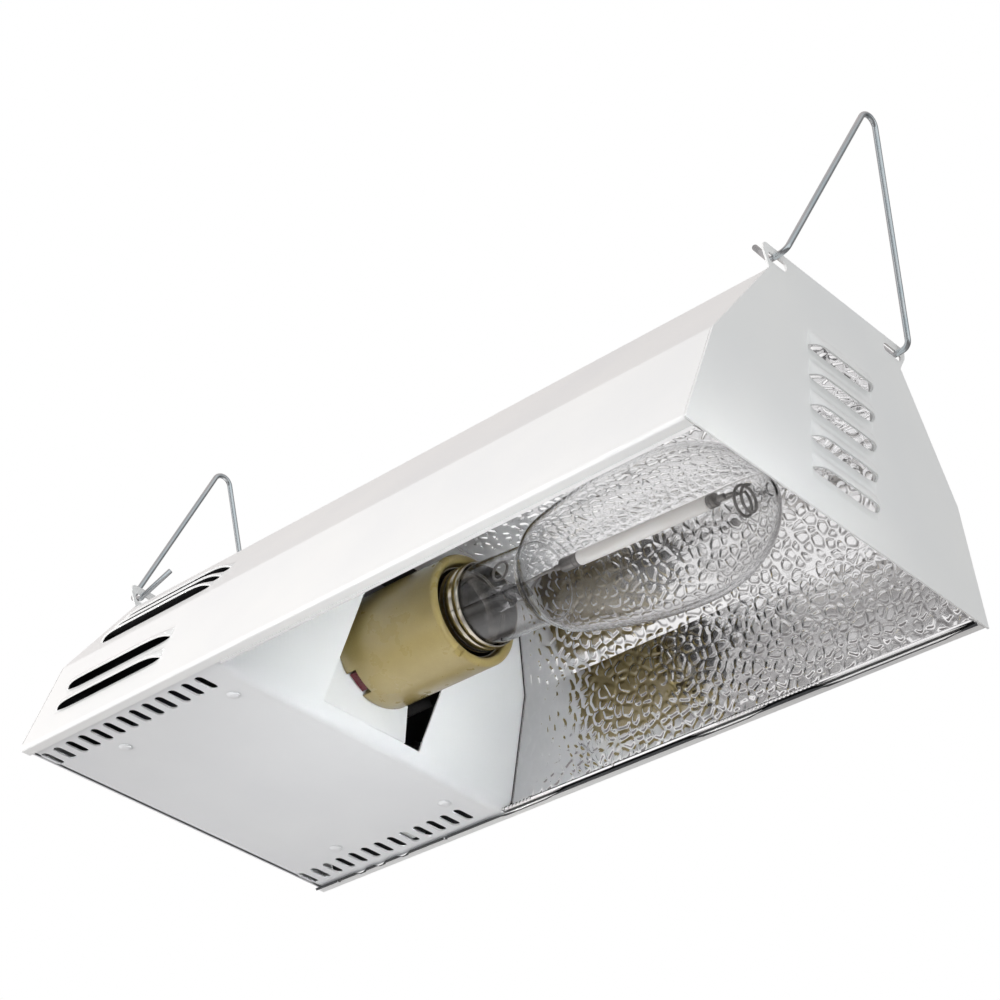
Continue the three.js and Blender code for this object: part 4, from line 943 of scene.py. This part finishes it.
def pebble_field(width, height):
    """Hammered pebbles on a flat blank, loosely packed: centres, extra radius, long way and stretch."""
    draw = np.random.default_rng(20)
    columns = int(width / PEBBLE) + 3
    rows = int(height / (PEBBLE * 0.87)) + 3
    i, j = np.meshgrid(np.arange(columns), np.arange(rows), indexing="ij")
    jitter = draw.uniform(-0.34, 0.34, (2, columns, rows)) * PEBBLE
    extra = draw.uniform(-1.0, 1.0, (columns, rows))
    way = draw.uniform(0, math.pi, (columns, rows))
    stretch = draw.uniform(1.0, 1.3, (columns, rows))
    tilt = draw.normal(0, 0.008, (2, columns, rows))
    return (i + 0.5 * (j % 2)) * PEBBLE + jitter[0], j * PEBBLE * 0.87 + jitter[1], extra, way, stretch, tilt


def pebble_height(a, b, field):
    """Height of the pebbled sheet at blank coordinates: round flat-topped pebbles, each a little tilted."""
    xs, ys, extra, way, stretch, tilt = field
    columns, rows = xs.shape
    j0 = np.floor(b / (PEBBLE * 0.87)).astype(int)
    i0 = np.floor(a / PEBBLE).astype(int)
    near = np.full(a.shape, 1e9)
    second = np.full(a.shape, 1e9)
    lean = np.zeros(a.shape)
    for dj in range(-2, 4):
        for di in range(-2, 4):
            i = np.clip(i0 + di, 0, columns - 1)
            j = np.clip(j0 + dj, 0, rows - 1)
            da, db = a - xs[i, j], b - ys[i, j]
            c, s = np.cos(way[i, j]), np.sin(way[i, j])
            d = np.hypot((c * da + s * db) / stretch[i, j], (c * db - s * da) * stretch[i, j]) - extra[i, j]
            closer = d < near
            second = np.where(closer, near, np.minimum(second, d))
            lean = np.where(closer, tilt[0][i, j] * da + tilt[1][i, j] * db, lean)
            near = np.minimum(near, d)
    edge = np.minimum((second - near) / 2 - 0.15, 0.60 * PEBBLE - near)
    rim = np.clip(edge / PEBBLE_RIM, 0, 1)
    rise = rim * rim * (3 - 2 * rim)
    crown = 0.05 * (1 - (near / PEBBLE) ** 2)
    return rise * (PEBBLE_HEIGHT + lean + crown)


def make_reflector():
    corners = wall_inside(REFLECTOR_INSET)[1]
    (y0, z0), (y1, z1) = corners[:2]
    brow = y0 + (y1 - y0) * (REFLECTOR_TOP - z0) / (z1 - z0)
    corners[1:3] = [(brow, REFLECTOR_TOP), (-brow, REFLECTOR_TOP)]
    level = SHEET + GAP
    foot = half_width(level, REFLECTOR_INSET)
    edge = REFLECTOR_FLANGE_EDGE
    outline = [(-edge, level), (-foot, level), *corners, (foot, level), (edge, level)]
    path = Path2D(rounded_path(outline, [0, 0.8, 1.4, 1.4, 1.4, 1.4, 0.8, 0], 5))
    # The half over the near wall faces away from the main camera, so it needs fewer lines.
    middle = path.where(1, REFLECTOR_TOP, 0, path.length / 2)
    coarse = lines(0.0, middle, 1.3, *path.at)
    vs = np.array(sorted({*coarse, *lines(middle, path.length, PEBBLE_STEP, *path.at)}))
    yz, normals = path.point(vs), path.normal(vs)
    left = PARTITION_FOOT + yz[:, 1] * PARTITION_SLOPE + 0.5
    columns = int((REFLECTOR_END + 80.0) / PEBBLE_STEP)
    x = left[:, None] + (REFLECTOR_END - left[:, None]) * np.linspace(0, 1, columns + 1)[None, :]
    across = np.repeat(vs[:, None], columns + 1, 1)
    field = pebble_field(REFLECTOR_END + 120, path.length + 20)
    height = pebble_height(x + 90.0, across + 6.0, field)
    # The pebbles are pressed less at the creases, and not at all in the flanges and along the cut ends.
    foot_at = path.at[6]
    calm = np.clip((vs - foot_at - 1.2) / 2.0, 0, 1) * np.clip((path.length - foot_at - 1.2 - vs) / 2.0, 0, 1)
    for corner in corners:
        crease = path.at[np.argmin(np.linalg.norm(path.points - corner, axis=1))]
        calm *= 0.6 + 0.4 * np.clip((np.abs(vs - crease) - 0.2) / 1.2, 0, 1)
    height *= calm[:, None]
    height *= np.clip((x - left[:, None] - 0.5) / 2.0, 0, 1) * np.clip((REFLECTOR_END - 0.5 - x) / 2.0, 0, 1)
    raised = yz[:, None, :] - normals[:, None, :] * height[..., None]
    points = np.concatenate([x[..., None], raised], -1).reshape(-1, 3)
    made = new_object("hammered_reflector", points, grid_faces(len(vs), columns + 1), HAMMERED)
    modifier = made.modifiers.new("sheet", "SOLIDIFY")
    modifier.thickness = 0.5 * MM
    modifier.offset = 1.0
    modifier.use_rim_only = True
    settle(made, 50)
    piece(made, ["reflector"])


# ---------------------------------------------------------------- hangers

WIRE_RADIUS = 1.5
HANGER_POINT = 114.6


def hanger_path():
    """Centre line of a hanger in its own frame: x outwards from the plate, z up from the pivot."""
    crook, inner, outer = 3.0, math.radians(50), math.radians(15)

    def half(side):
        foot, toe = side * 46.4, side * 41.0
        points = [(-16.3, toe, 12.4)]
        for k in range(13):
            a = -inner + (outer + inner) * k / 12
            points.append((crook * math.sin(a), foot, -crook * math.cos(a)))
        x, _, z = points[-1]
        heel = (8.2, foot, z + (8.2 - x) * math.tan(outer))
        bend = rounded_path([points[-1], heel, (8.2, 0, HANGER_POINT)], 4.5, 10)
        return np.array(points[:-1] + [tuple(p) for p in bend[:-1]])

    near, far = half(-1), half(1)[::-1]
    tip = rounded_path([near[-1], (8.2, 0, HANGER_POINT), far[0]], 6.0, 14)
    return np.concatenate([near, tip[1:-1], far])


def make_hanger(name, end, lean):
    c, s = math.cos(math.radians(lean)), math.sin(math.radians(lean))
    p = hanger_path()
    p = np.stack([c * p[:, 0] + s * p[:, 2], p[:, 1], c * p[:, 2] - s * p[:, 0]], 1)
    p[:, :2] *= end
    p += np.array([end * (HALF_LENGTH - SHEET / 2), 0, PIVOT_HEIGHT])
    body = "hanger_at_lamp_end" if end > 0 else "hanger_at_ballast_end"
    add_solid(name + "_wire", tube(p, WIRE_RADIUS, 20), ZINC, [name], body, 50)


# ---------------------------------------------------------------- lampholder

HOLDER_RADIUS = 30.0
HOLDER_BORE = 25.0
HOLDER_FRONT = -3.5
HOLDER_FLOOR = -54.0
HOLDER_BACK = TAB_FACE + GAP


def at_holder(part):
    """A part made about the lampholder's own level axis, put in its place."""
    points, faces = part
    return np.asarray(points, float) + np.array([0, 0, LAMP_HEIGHT]), faces


def make_lampholder():
    wall = HOLDER_RADIUS - HOLDER_BORE
    middle = HOLDER_BORE + wall / 2
    rim = [
        (HOLDER_FRONT - wall / 2 + wall / 2 * math.sin(a), middle + wall / 2 * math.cos(a))
        for a in np.linspace(0, math.pi, 17)
    ]
    profile = [
        (HOLDER_BACK, 0),
        (HOLDER_BACK, HOLDER_RADIUS - 1.2),
        (HOLDER_BACK + 0.35, HOLDER_RADIUS - 0.35),
        (HOLDER_BACK + 1.2, HOLDER_RADIUS),
        *[(x, HOLDER_RADIUS) for x in np.linspace(HOLDER_BACK + 6, HOLDER_FRONT - 6, 10)],
        *rim,
        *[(x, HOLDER_BORE) for x in np.linspace(HOLDER_FRONT - 8, HOLDER_FLOOR + 2, 6)],
        (HOLDER_FLOOR, HOLDER_BORE - 2),
        (HOLDER_FLOOR, 0),
    ]
    made = new_object("lampholder_porcelain", *at_holder(turned(profile, 96)), PORCELAIN)
    settle(made, outward=True)
    cutters = []

    def cutter(part, turn=0.0):
        p, f = part
        c, s = math.cos(turn), math.sin(turn)
        p = np.stack([p[:, 0], c * p[:, 1] - s * p[:, 2], s * p[:, 1] + c * p[:, 2]], 1)
        tool = new_object("tool", *at_holder((p, f)), PORCELAIN)
        settle(tool, outward=True)
        cutters.append(tool)

    depth = 7.0
    cutter(block(HOLDER_BACK - 1, HOLDER_BACK + depth, 8, HOLDER_RADIUS + 5, -7, 7), math.atan2(-25, -15))
    cutter(block(HOLDER_BACK - 1.3, HOLDER_BACK + depth - 0.3, -14, 14, -9, 9))
    for turn in (-0.7, -0.7 + math.pi):
        scallop = turned([(-4, 0), (-4, 7), (4, 7), (4, 0)], 32)
        cutter((scallop[0] + np.array([HOLDER_BACK, HOLDER_RADIUS + 3, 0]), scallop[1]), turn)
    cutter(block(HOLDER_FRONT - 3.2, HOLDER_FRONT + 2, 26.4, 34, -2.4, 2.4), math.radians(-106))
    cut_away(made, *cutters)
    soften(made, 0.45, 40)
    settle(made, 40, outward=True)
    piece(made, ["lampholder_body"])

    front = HOLDER_FRONT - 4.5
    ring = [
        (HOLDER_FLOOR + 3, 22), (HOLDER_FLOOR + 3, 24), *[(x, 24) for x in np.linspace(-50, front - 3, 8)],
        (front - 1.6, 24.1), (front - 0.8, 24.3), (front - 0.2, 24.2), (front, 23.9), (front - 0.1, 23.5),
        (front - 0.6, 23.2), *[(x, 23.2) for x in np.linspace(front - 3, -49, 8)], (HOLDER_FLOOR + 3.8, 22),
    ]
    part = at_holder(turned(ring, 96, closed=True))
    add_solid("lampholder_shell", part, NICKEL, ["lampholder_screw_shell"])


# ---------------------------------------------------------------- lamp

NECK = 21.0
BULB = [
    (0, NECK), (20, NECK), (44, NECK), (48, NECK + 0.5), (51, NECK + 2.6), (54, NECK + 5.2),
    (60, NECK + 8.6), (70, 32.2), (84, 34.8), (100, 37.0), (116, 38.2), (130, 38.5), (142, 37.7),
    (153, 35.4), (163, 31.4), (172, 25.9), (179, 19.6), (184.3, 12.6), (187.4, 6.4), (188.4, 3.4),
    (186.6, 2.0), (182.6, 1.4), (181.4, 0.0),
]
GLASS_THICKNESS = 1.0


def smooth_curve(points, pieces):
    """Catmull-Rom curve through 2-D points."""
    p = np.asarray(points, float)
    ends = np.concatenate([[2 * p[0] - p[1]], p, [2 * p[-1] - p[-2]]])
    out = []
    for a, b, c, d in zip(ends, ends[1:], ends[2:], ends[3:]):
        for k in range(pieces):
            t = k / pieces
            out.append(0.5 * ((2 * b) + (c - a) * t + (2 * a - 5 * b + 4 * c - d) * t**2
                              + (3 * b - a - 3 * c + d) * t**3))
    out.append(p[-1])
    return np.array(out)


def make_lamp():
    outside = smooth_curve(BULB, 5)
    outside[:, 1] = np.maximum(outside[:, 1], 0)
    outside[-1, 1] = 0
    path = Path2D(outside)
    inside = outside - path.normals * GLASS_THICKNESS
    keep = inside[:, 1] > 0.2
    inside = inside[keep & (np.arange(len(inside)) < len(inside) - 8)]
    inside[0][0] = 0
    profile = [*outside, (179.9, 0.0), *inside[::-1]]
    part = on_lamp_part(turned(profile, 96, closed=True))
    add_solid("lamp_bulb_glass", part, GLASS, ["lamp_envelope"], "lamp", 60)

    pitch, depth = 6.35, 0.75

    def thread(x, r, angle):
        if -36 < x < -9.5 and r > 18:
            fade = min(1, (x + 36) / 3, (-9.5 - x) / 3)
            return r - depth * fade * (0.5 - 0.5 * math.cos(2 * math.pi * (x / pitch - angle / (2 * math.pi))))
        return r

    outer = [
        (-42, 13), (-41.4, 14.6), (-40, 17), (-38, 18.8),
        *[(x, 19.7) for x in np.arange(-36, -8.5, 0.55)],
        (-7.5, 19.8), (-6, 20.6), (-4.6, 21.8), (-3.4, 22.2), (-1.6, 22.2), (-1.2, 21.95), (-0.6, 21.95),
        (-0.2, 22.2),
        (4.4, 22.2), (4.8, 21.95), (5.4, 21.95), (5.8, 22.2), (8.9, 22.2), (9.4, 22.05), (9.5, 21.7),
        (9.3, 21.5), (-3.4, 21.4), (-7, 18.2), (-35.6, 18.2), (-39.2, 16.2), (-41.1, 13),
    ]
    part = on_lamp_part(turned(outer, 72, closed=True, shape=thread))
    add_solid("lamp_screw_base", part, NICKEL, ["lamp_base_shell"], "lamp", 40)

    stem = [
        (2, 15.6), (2.4, 16), (3.2, 15.4), (4.4, 13.4), (6.4, 10.6), (9, 8.4), (13, 6.8), (18, 6.2), (23, 6.0),
        (25, 5.2), (25.6, 3.4), (25.4, 0),
    ]
    inner = [(24.2, 0), (24.0, 3.6), (18, 5.0), (13, 5.6), (9, 7.2), (6.0, 9.6), (3.8, 12.8), (2.2, 15.0)]
    flare = turned([*smooth_curve(stem, 3), *inner], 56, closed=True)
    press = turned([(23.5, 0), (23.5, 5.2), (24.4, 6.4), (26, 7), (31.5, 7), (33.4, 6.0), (34, 4.2), (34, 0)], 48)
    squeezed = press[0] * np.array([1, 1, 0.36])
    part = on_lamp_part((squeezed, press[1]))
    add_solid("lamp_stem_press", part, STEM_GLASS, (), "lamp", 40)
    add_solid("lamp_stem_flare", on_lamp_part(flare), STEM_GLASS, ["lamp_stem"], "lamp", 40)
    make_lamp_wires()
    make_arc_tube()


def on_lamp_part(part):
    points, faces = part
    return on_lamp(points), faces


ARC_Y, ARC_Z = -2.3, 2.6
ARC_CAP = 57.0
ARC_TILT = math.radians(1.2)


def on_arc_tube(points):
    """Points on the arc tube's own axis, which rises a little towards the dome, as points of the lamp."""
    p = np.asarray(points, float) - np.array([ARC_CAP, 0, 0])
    c, s = math.cos(ARC_TILT), math.sin(ARC_TILT)
    tilted = np.stack([c * p[:, 0] - s * p[:, 2], p[:, 1], c * p[:, 2] + s * p[:, 0]], 1)
    return tilted + np.array([ARC_CAP, ARC_Y, ARC_Z])


def make_lamp_wires():
    def wire(name, node, path, radius=0.75):
        add_solid(name, on_lamp_part(tube(path, radius, 12)), TUNGSTEN, [node], "lamp", 50)

    turns = 56
    loop = [
        (170 + 6.4 * k / turns, r * math.cos(a), r * math.sin(a))
        for k in range(turns + 1)
        for a, r in [(math.radians(66) - 2 * math.pi * 1.9 * k / turns, 7.8 - 1.6 * k / turns)]
    ]
    straight = [(34.2, 4, 1.5), (40, 5.2, 9.2), (48, 5.2, 9.2), (162, 5.2, 9.2), (168, 4.4, 8.4)]
    wire("lamp_frame", "lamp_frame_wire", np.concatenate([rounded_path(straight, 3.0, 5)[:-1], loop]))
    near = [(34.6, -4, 0), (42, -3.4, 1), (50, ARC_Y, ARC_Z), (56.4, ARC_Y, ARC_Z)]
    wire("lamp_near_lead", "lamp_lead_wire", rounded_path(near, 2.5, 5))
    far = [*on_arc_tube([(163.4, 0, 0), (165.8, 0, 0)]), (168.0, 0.6, 5.8)]
    wire("lamp_far_link", "lamp_link_wire", rounded_path(far, 2.5, 5))
    ring = np.array([
        (26 + 5 * math.cos(a) * math.sin(0.6), -9.4 + 3.6 * math.sin(a), 8.6 + 5 * math.cos(a) * math.cos(0.6))
        for a in np.linspace(0, 2 * math.pi, 41)[:-1]
    ])
    spokes = ring - np.mean(ring, 0)
    axis = np.cross(spokes[0], spokes[10])
    axis /= np.linalg.norm(axis)
    c, s = ring_angles(10)
    points = [p + 0.75 * (c * spoke / np.linalg.norm(spoke) + s * axis) for p, spoke in zip(ring, spokes)]
    part = on_lamp_part((np.concatenate(points), ring_faces(len(ring), 10, closed=True)))
    add_solid("getter", part, TUNGSTEN, ["lamp_getter_ring"], "lamp", 50)


def make_arc_tube():
    start, end, r = 73.0, 153.0, 3.7
    body = [
        (start, 0), (start, r - 0.6), (start + 0.2, r - 0.2), (start + 0.7, r),
        *[(x, r) for x in np.linspace(start + 6, end - 6, 12)],
        (end - 0.7, r), (end - 0.2, r - 0.2), (end, r - 0.6), (end, 0),
    ]

    def make(name, node, profile, material):
        points, faces = turned(profile, 40)
        add_solid(name, (on_lamp(on_arc_tube(points)), faces), material, [node], "lamp", 40)

    make("arc_tube_body", "arc_tube", body, ALUMINA)
    for name, node, outer, inner in (
        ("arc_tube_cap_base", "arc_tube_base_end", ARC_CAP, start - GAP),
        ("arc_tube_cap_dome", "arc_tube_dome_end", 162.6, end + GAP),
    ):
        way = 1 if inner > outer else -1
        long = abs(inner - outer)
        from_outside = [
            (0, 0), (0, 1.2), (0.3, 1.5), (4.0, 1.6), (4.6, 2.4), (4.9, r - 0.4), (5.3, r - 0.2),
        ]
        from_inside = [
            (min(3.0, long / 3), r - 0.2), (min(2.7, long / 3 - 0.2), r - 0.5), (2.2, r - 0.5),
            (1.9, r - 0.2), (0.3, r - 0.2), (0, r - 0.5), (0, 0),
        ]
        cap = [(outer + way * x, y) for x, y in from_outside] + [(inner - way * x, y) for x, y in from_inside]
        make(name, node, cap, TUNGSTEN)


# ---------------------------------------------------------------- CAD pieces that are shown as they are


def finish_cad_nodes():
    fixed = {
        "lampholder_contact": BRASS, "lampholder_screw_1": FASTENER, "lampholder_screw_2": FASTENER,
        "lamp_base_insulator": BLACK_GLASS, "lamp_base_contact": BRASS,
        "ballast_core": CORE_STEEL_SHADED, "ballast_primary_coil": WINDING, "ballast_secondary_coil": WINDING,
        "capacitor": CAN, "capacitor_strap": FASTENER, "ignitor": POTTING,
        "cord_bushing": BUSHING, "ground_screw": GREEN,
        **INSULATION, "lead_red_sleeve": SLEEVE,
    }
    for name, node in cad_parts.items():
        material = fixed.get(name)
        if name.startswith(("ballast_bolt", "ballast_nut", "ballast_rail")):
            material = FASTENER
        if name.startswith("cover_rivet"):
            material = COVER_WHITE_SHADED
        if name.startswith("wire_connector"):
            material = CONNECTOR
        if material is None:
            continue
        node.data.materials.clear()
        node.data.materials.append(material)


# ---------------------------------------------------------------- stage, light and camera


FLOOR_LEVEL = -1.5
FLOOR_HALF = 9.0
FLOOR_REACH = 90.0
# What the camera sees of the floor: distances from and to which it brightens, both strengths, and its share.
FLOOR_SEEN = 4.0, 20.0, 0.93, 1.26
FLOOR_SHARE = 0.8
# Bright patches of floor that the reflector mirrors: (x, y), radii of full and of no glow, and strength.
FLOOR_GLOWS = (
    ((-1.3, 0.6), 0.5, 2.0, 0.88),
    ((-1.5, -2.8), 0.6, 1.6, 0.80),
)


def make_stage():
    """A plain pale floor, well below the lamp. It is evenly pale to the eye and softly lit for bounces."""
    n = Nodes("studio_floor")
    glow = 0.0
    for place, full, none, strength in FLOOR_GLOWS:
        reach = n.vectors("DISTANCE", {0: n.place, 1: (*place, FLOOR_LEVEL)}, "Value")
        glow = n.numbers("ADD", glow, n.spread(reach, full, none, strength, 0.0))
    n.set(color=(0.35, 0.35, 0.35), rough=0.95, glow=glow, glow_color=(1, 1, 1))
    # What the camera sees of it turns white far away, so that no horizon shows.
    away = n.vectors("LENGTH", {0: n.place}, "Value")
    seen = n.add("Emission", {"Strength": n.spread(away, *FLOOR_SEEN)})
    n.show(n.mixed(n.numbers("MULTIPLY", n.ray("Is Camera Ray"), FLOOR_SHARE), n.shader, seen))
    corners = np.array([(-1, -1), (1, -1), (1, 1), (-1, 1)])
    points = [
        (x / MM - SHIFT / MM, y / MM, FLOOR_LEVEL / MM)
        for half in (FLOOR_REACH, FLOOR_HALF)
        for x, y in half * corners
    ]
    floor = new_object("floor", points[4:], [(0, 1, 2, 3)], n.material)
    beyond = new_object("floor_beyond", points, ring_faces(2, 4), n.material)
    beyond.visible_diffuse = beyond.visible_glossy = beyond.visible_transmission = False


def area_light(name, place, aim, size, power, color=(1, 1, 1), spread=180.0):
    """A soft light that neither the camera nor the mirror-bright sheet sees."""
    data = bpy.data.lights.new(name, "AREA")
    data.shape = "RECTANGLE"
    data.size, data.size_y = size
    data.energy = power
    data.color = color
    data.spread = math.radians(spread)
    lamp = bpy.data.objects.new(name, data)
    scene.collection.objects.link(lamp)
    lamp.location = place
    way = Vector(aim) - Vector(place)
    lamp.rotation_mode = "QUATERNION"
    lamp.rotation_quaternion = way.to_track_quat("-Z", "Y")
    lamp.visible_camera = False
    lamp.visible_glossy = False
    lamp.visible_transmission = False


# Where the studio glows: a direction, the cosines at which the glow starts and is full, and its strength.
STUDIO_DARK = 0.10
STUDIO_GLOWS = (
    ((-0.56, -0.76, -0.33), 0.84, 0.955, 0.86, (1.0, 0.985, 0.985)),
    ((0.92, -0.35, -0.10), 0.15, 0.90, 0.75, (0.96, 0.99, 1.0)),
    ((-0.50, 0.20, 0.80), 0.05, 0.80, 0.50, (1.0, 0.89, 0.87)),
)


def make_world():
    """A dim studio with soft glows. The camera sees plain white behind the lamp."""
    scene.world = bpy.data.worlds.new("studio")
    t = Tree(scene.world)
    t.tree.nodes.clear()
    place = t.add("TexCoord").outputs["Generated"]
    total = (STUDIO_DARK,) * 3
    for way, start, full, strength, tint in STUDIO_GLOWS:
        near = t.vectors("DOT_PRODUCT", {0: place, 1: Vector(way).normalized()}, "Value")
        glow = t.spread(near, start, full, 0.0, strength, interpolation_type="SMOOTHSTEP")
        total = t.vectors("ADD", {0: total, 1: t.vectors("SCALE", {0: tint, "Scale": glow})})
    lit = t.add("Background", {"Color": total})
    seen = t.add("Background", {"Color": (1, 1, 1, 1)})
    t.add("OutputWorld", {"Surface": t.mixed(t.ray("Is Camera Ray"), lit, seen)})


# Angles in degrees, lens in millimetres, and the way back, right and up from the housing's middle in widths.
CAMERA_TURN, CAMERA_TILT, CAMERA_ROLL = 45.354, -34.409, 2.92
CAMERA_LENS = 88.06
CAMERA_WAY = 5.5197, 0.0558, 0.4371


def make_camera():
    """Camera below the lamp, looking up at its open underside."""
    a, e, roll = map(math.radians, (CAMERA_TURN, CAMERA_TILT, CAMERA_ROLL))
    back = Vector((math.sin(a) * math.cos(e), -math.cos(a) * math.cos(e), math.sin(e)))
    right = (-back).cross(Vector((0, 0, 1))).normalized()
    up = right.cross(-back)
    right, up = math.cos(roll) * right + math.sin(roll) * up, -math.sin(roll) * right + math.cos(roll) * up
    data = bpy.data.cameras.new("camera")
    data.sensor_width = 36
    data.lens = CAMERA_LENS
    data.clip_start, data.clip_end = 0.01, 100
    camera = bpy.data.objects.new("camera", data)
    scene.collection.objects.link(camera)
    turn = Matrix((right, up, back)).transposed()
    camera.rotation_mode = "QUATERNION"
    camera.rotation_quaternion = turn.to_quaternion()
    way = sum((axis * far for axis, far in zip((back, right, up), CAMERA_WAY)), Vector())
    camera.location = way * (2 * RIM_HALF_WIDTH * MM) + Vector((SHIFT, 0, 0))
    scene.camera = camera


make_camera()
make_shell()
make_lamp_end_plate()
make_ballast_end_plate()
make_cover()
make_reflector()
make_hanger("hanger_lamp_end", 1, 9.2)
make_hanger("hanger_ballast_end", -1, -4.4)
make_lampholder()
make_lamp()
finish_cad_nodes()
make_stage()
make_world()
area_light("key", (-0.75, -1.35, -0.26), (0, 0, 0.05), (1.5, 1.1), 22.0)
area_light("fill", (0.62, -0.20, -0.30), (-0.065, 0, 0.03), (0.14, 0.14), 0.082, (0.96, 0.99, 1.0), 20)
area_light("side", (1.7, -0.7, -0.25), (0.1, 0, 0.05), (0.9, 0.9), 10.6, (0.96, 0.99, 1.0))
scene.view_settings.view_transform = "Standard"
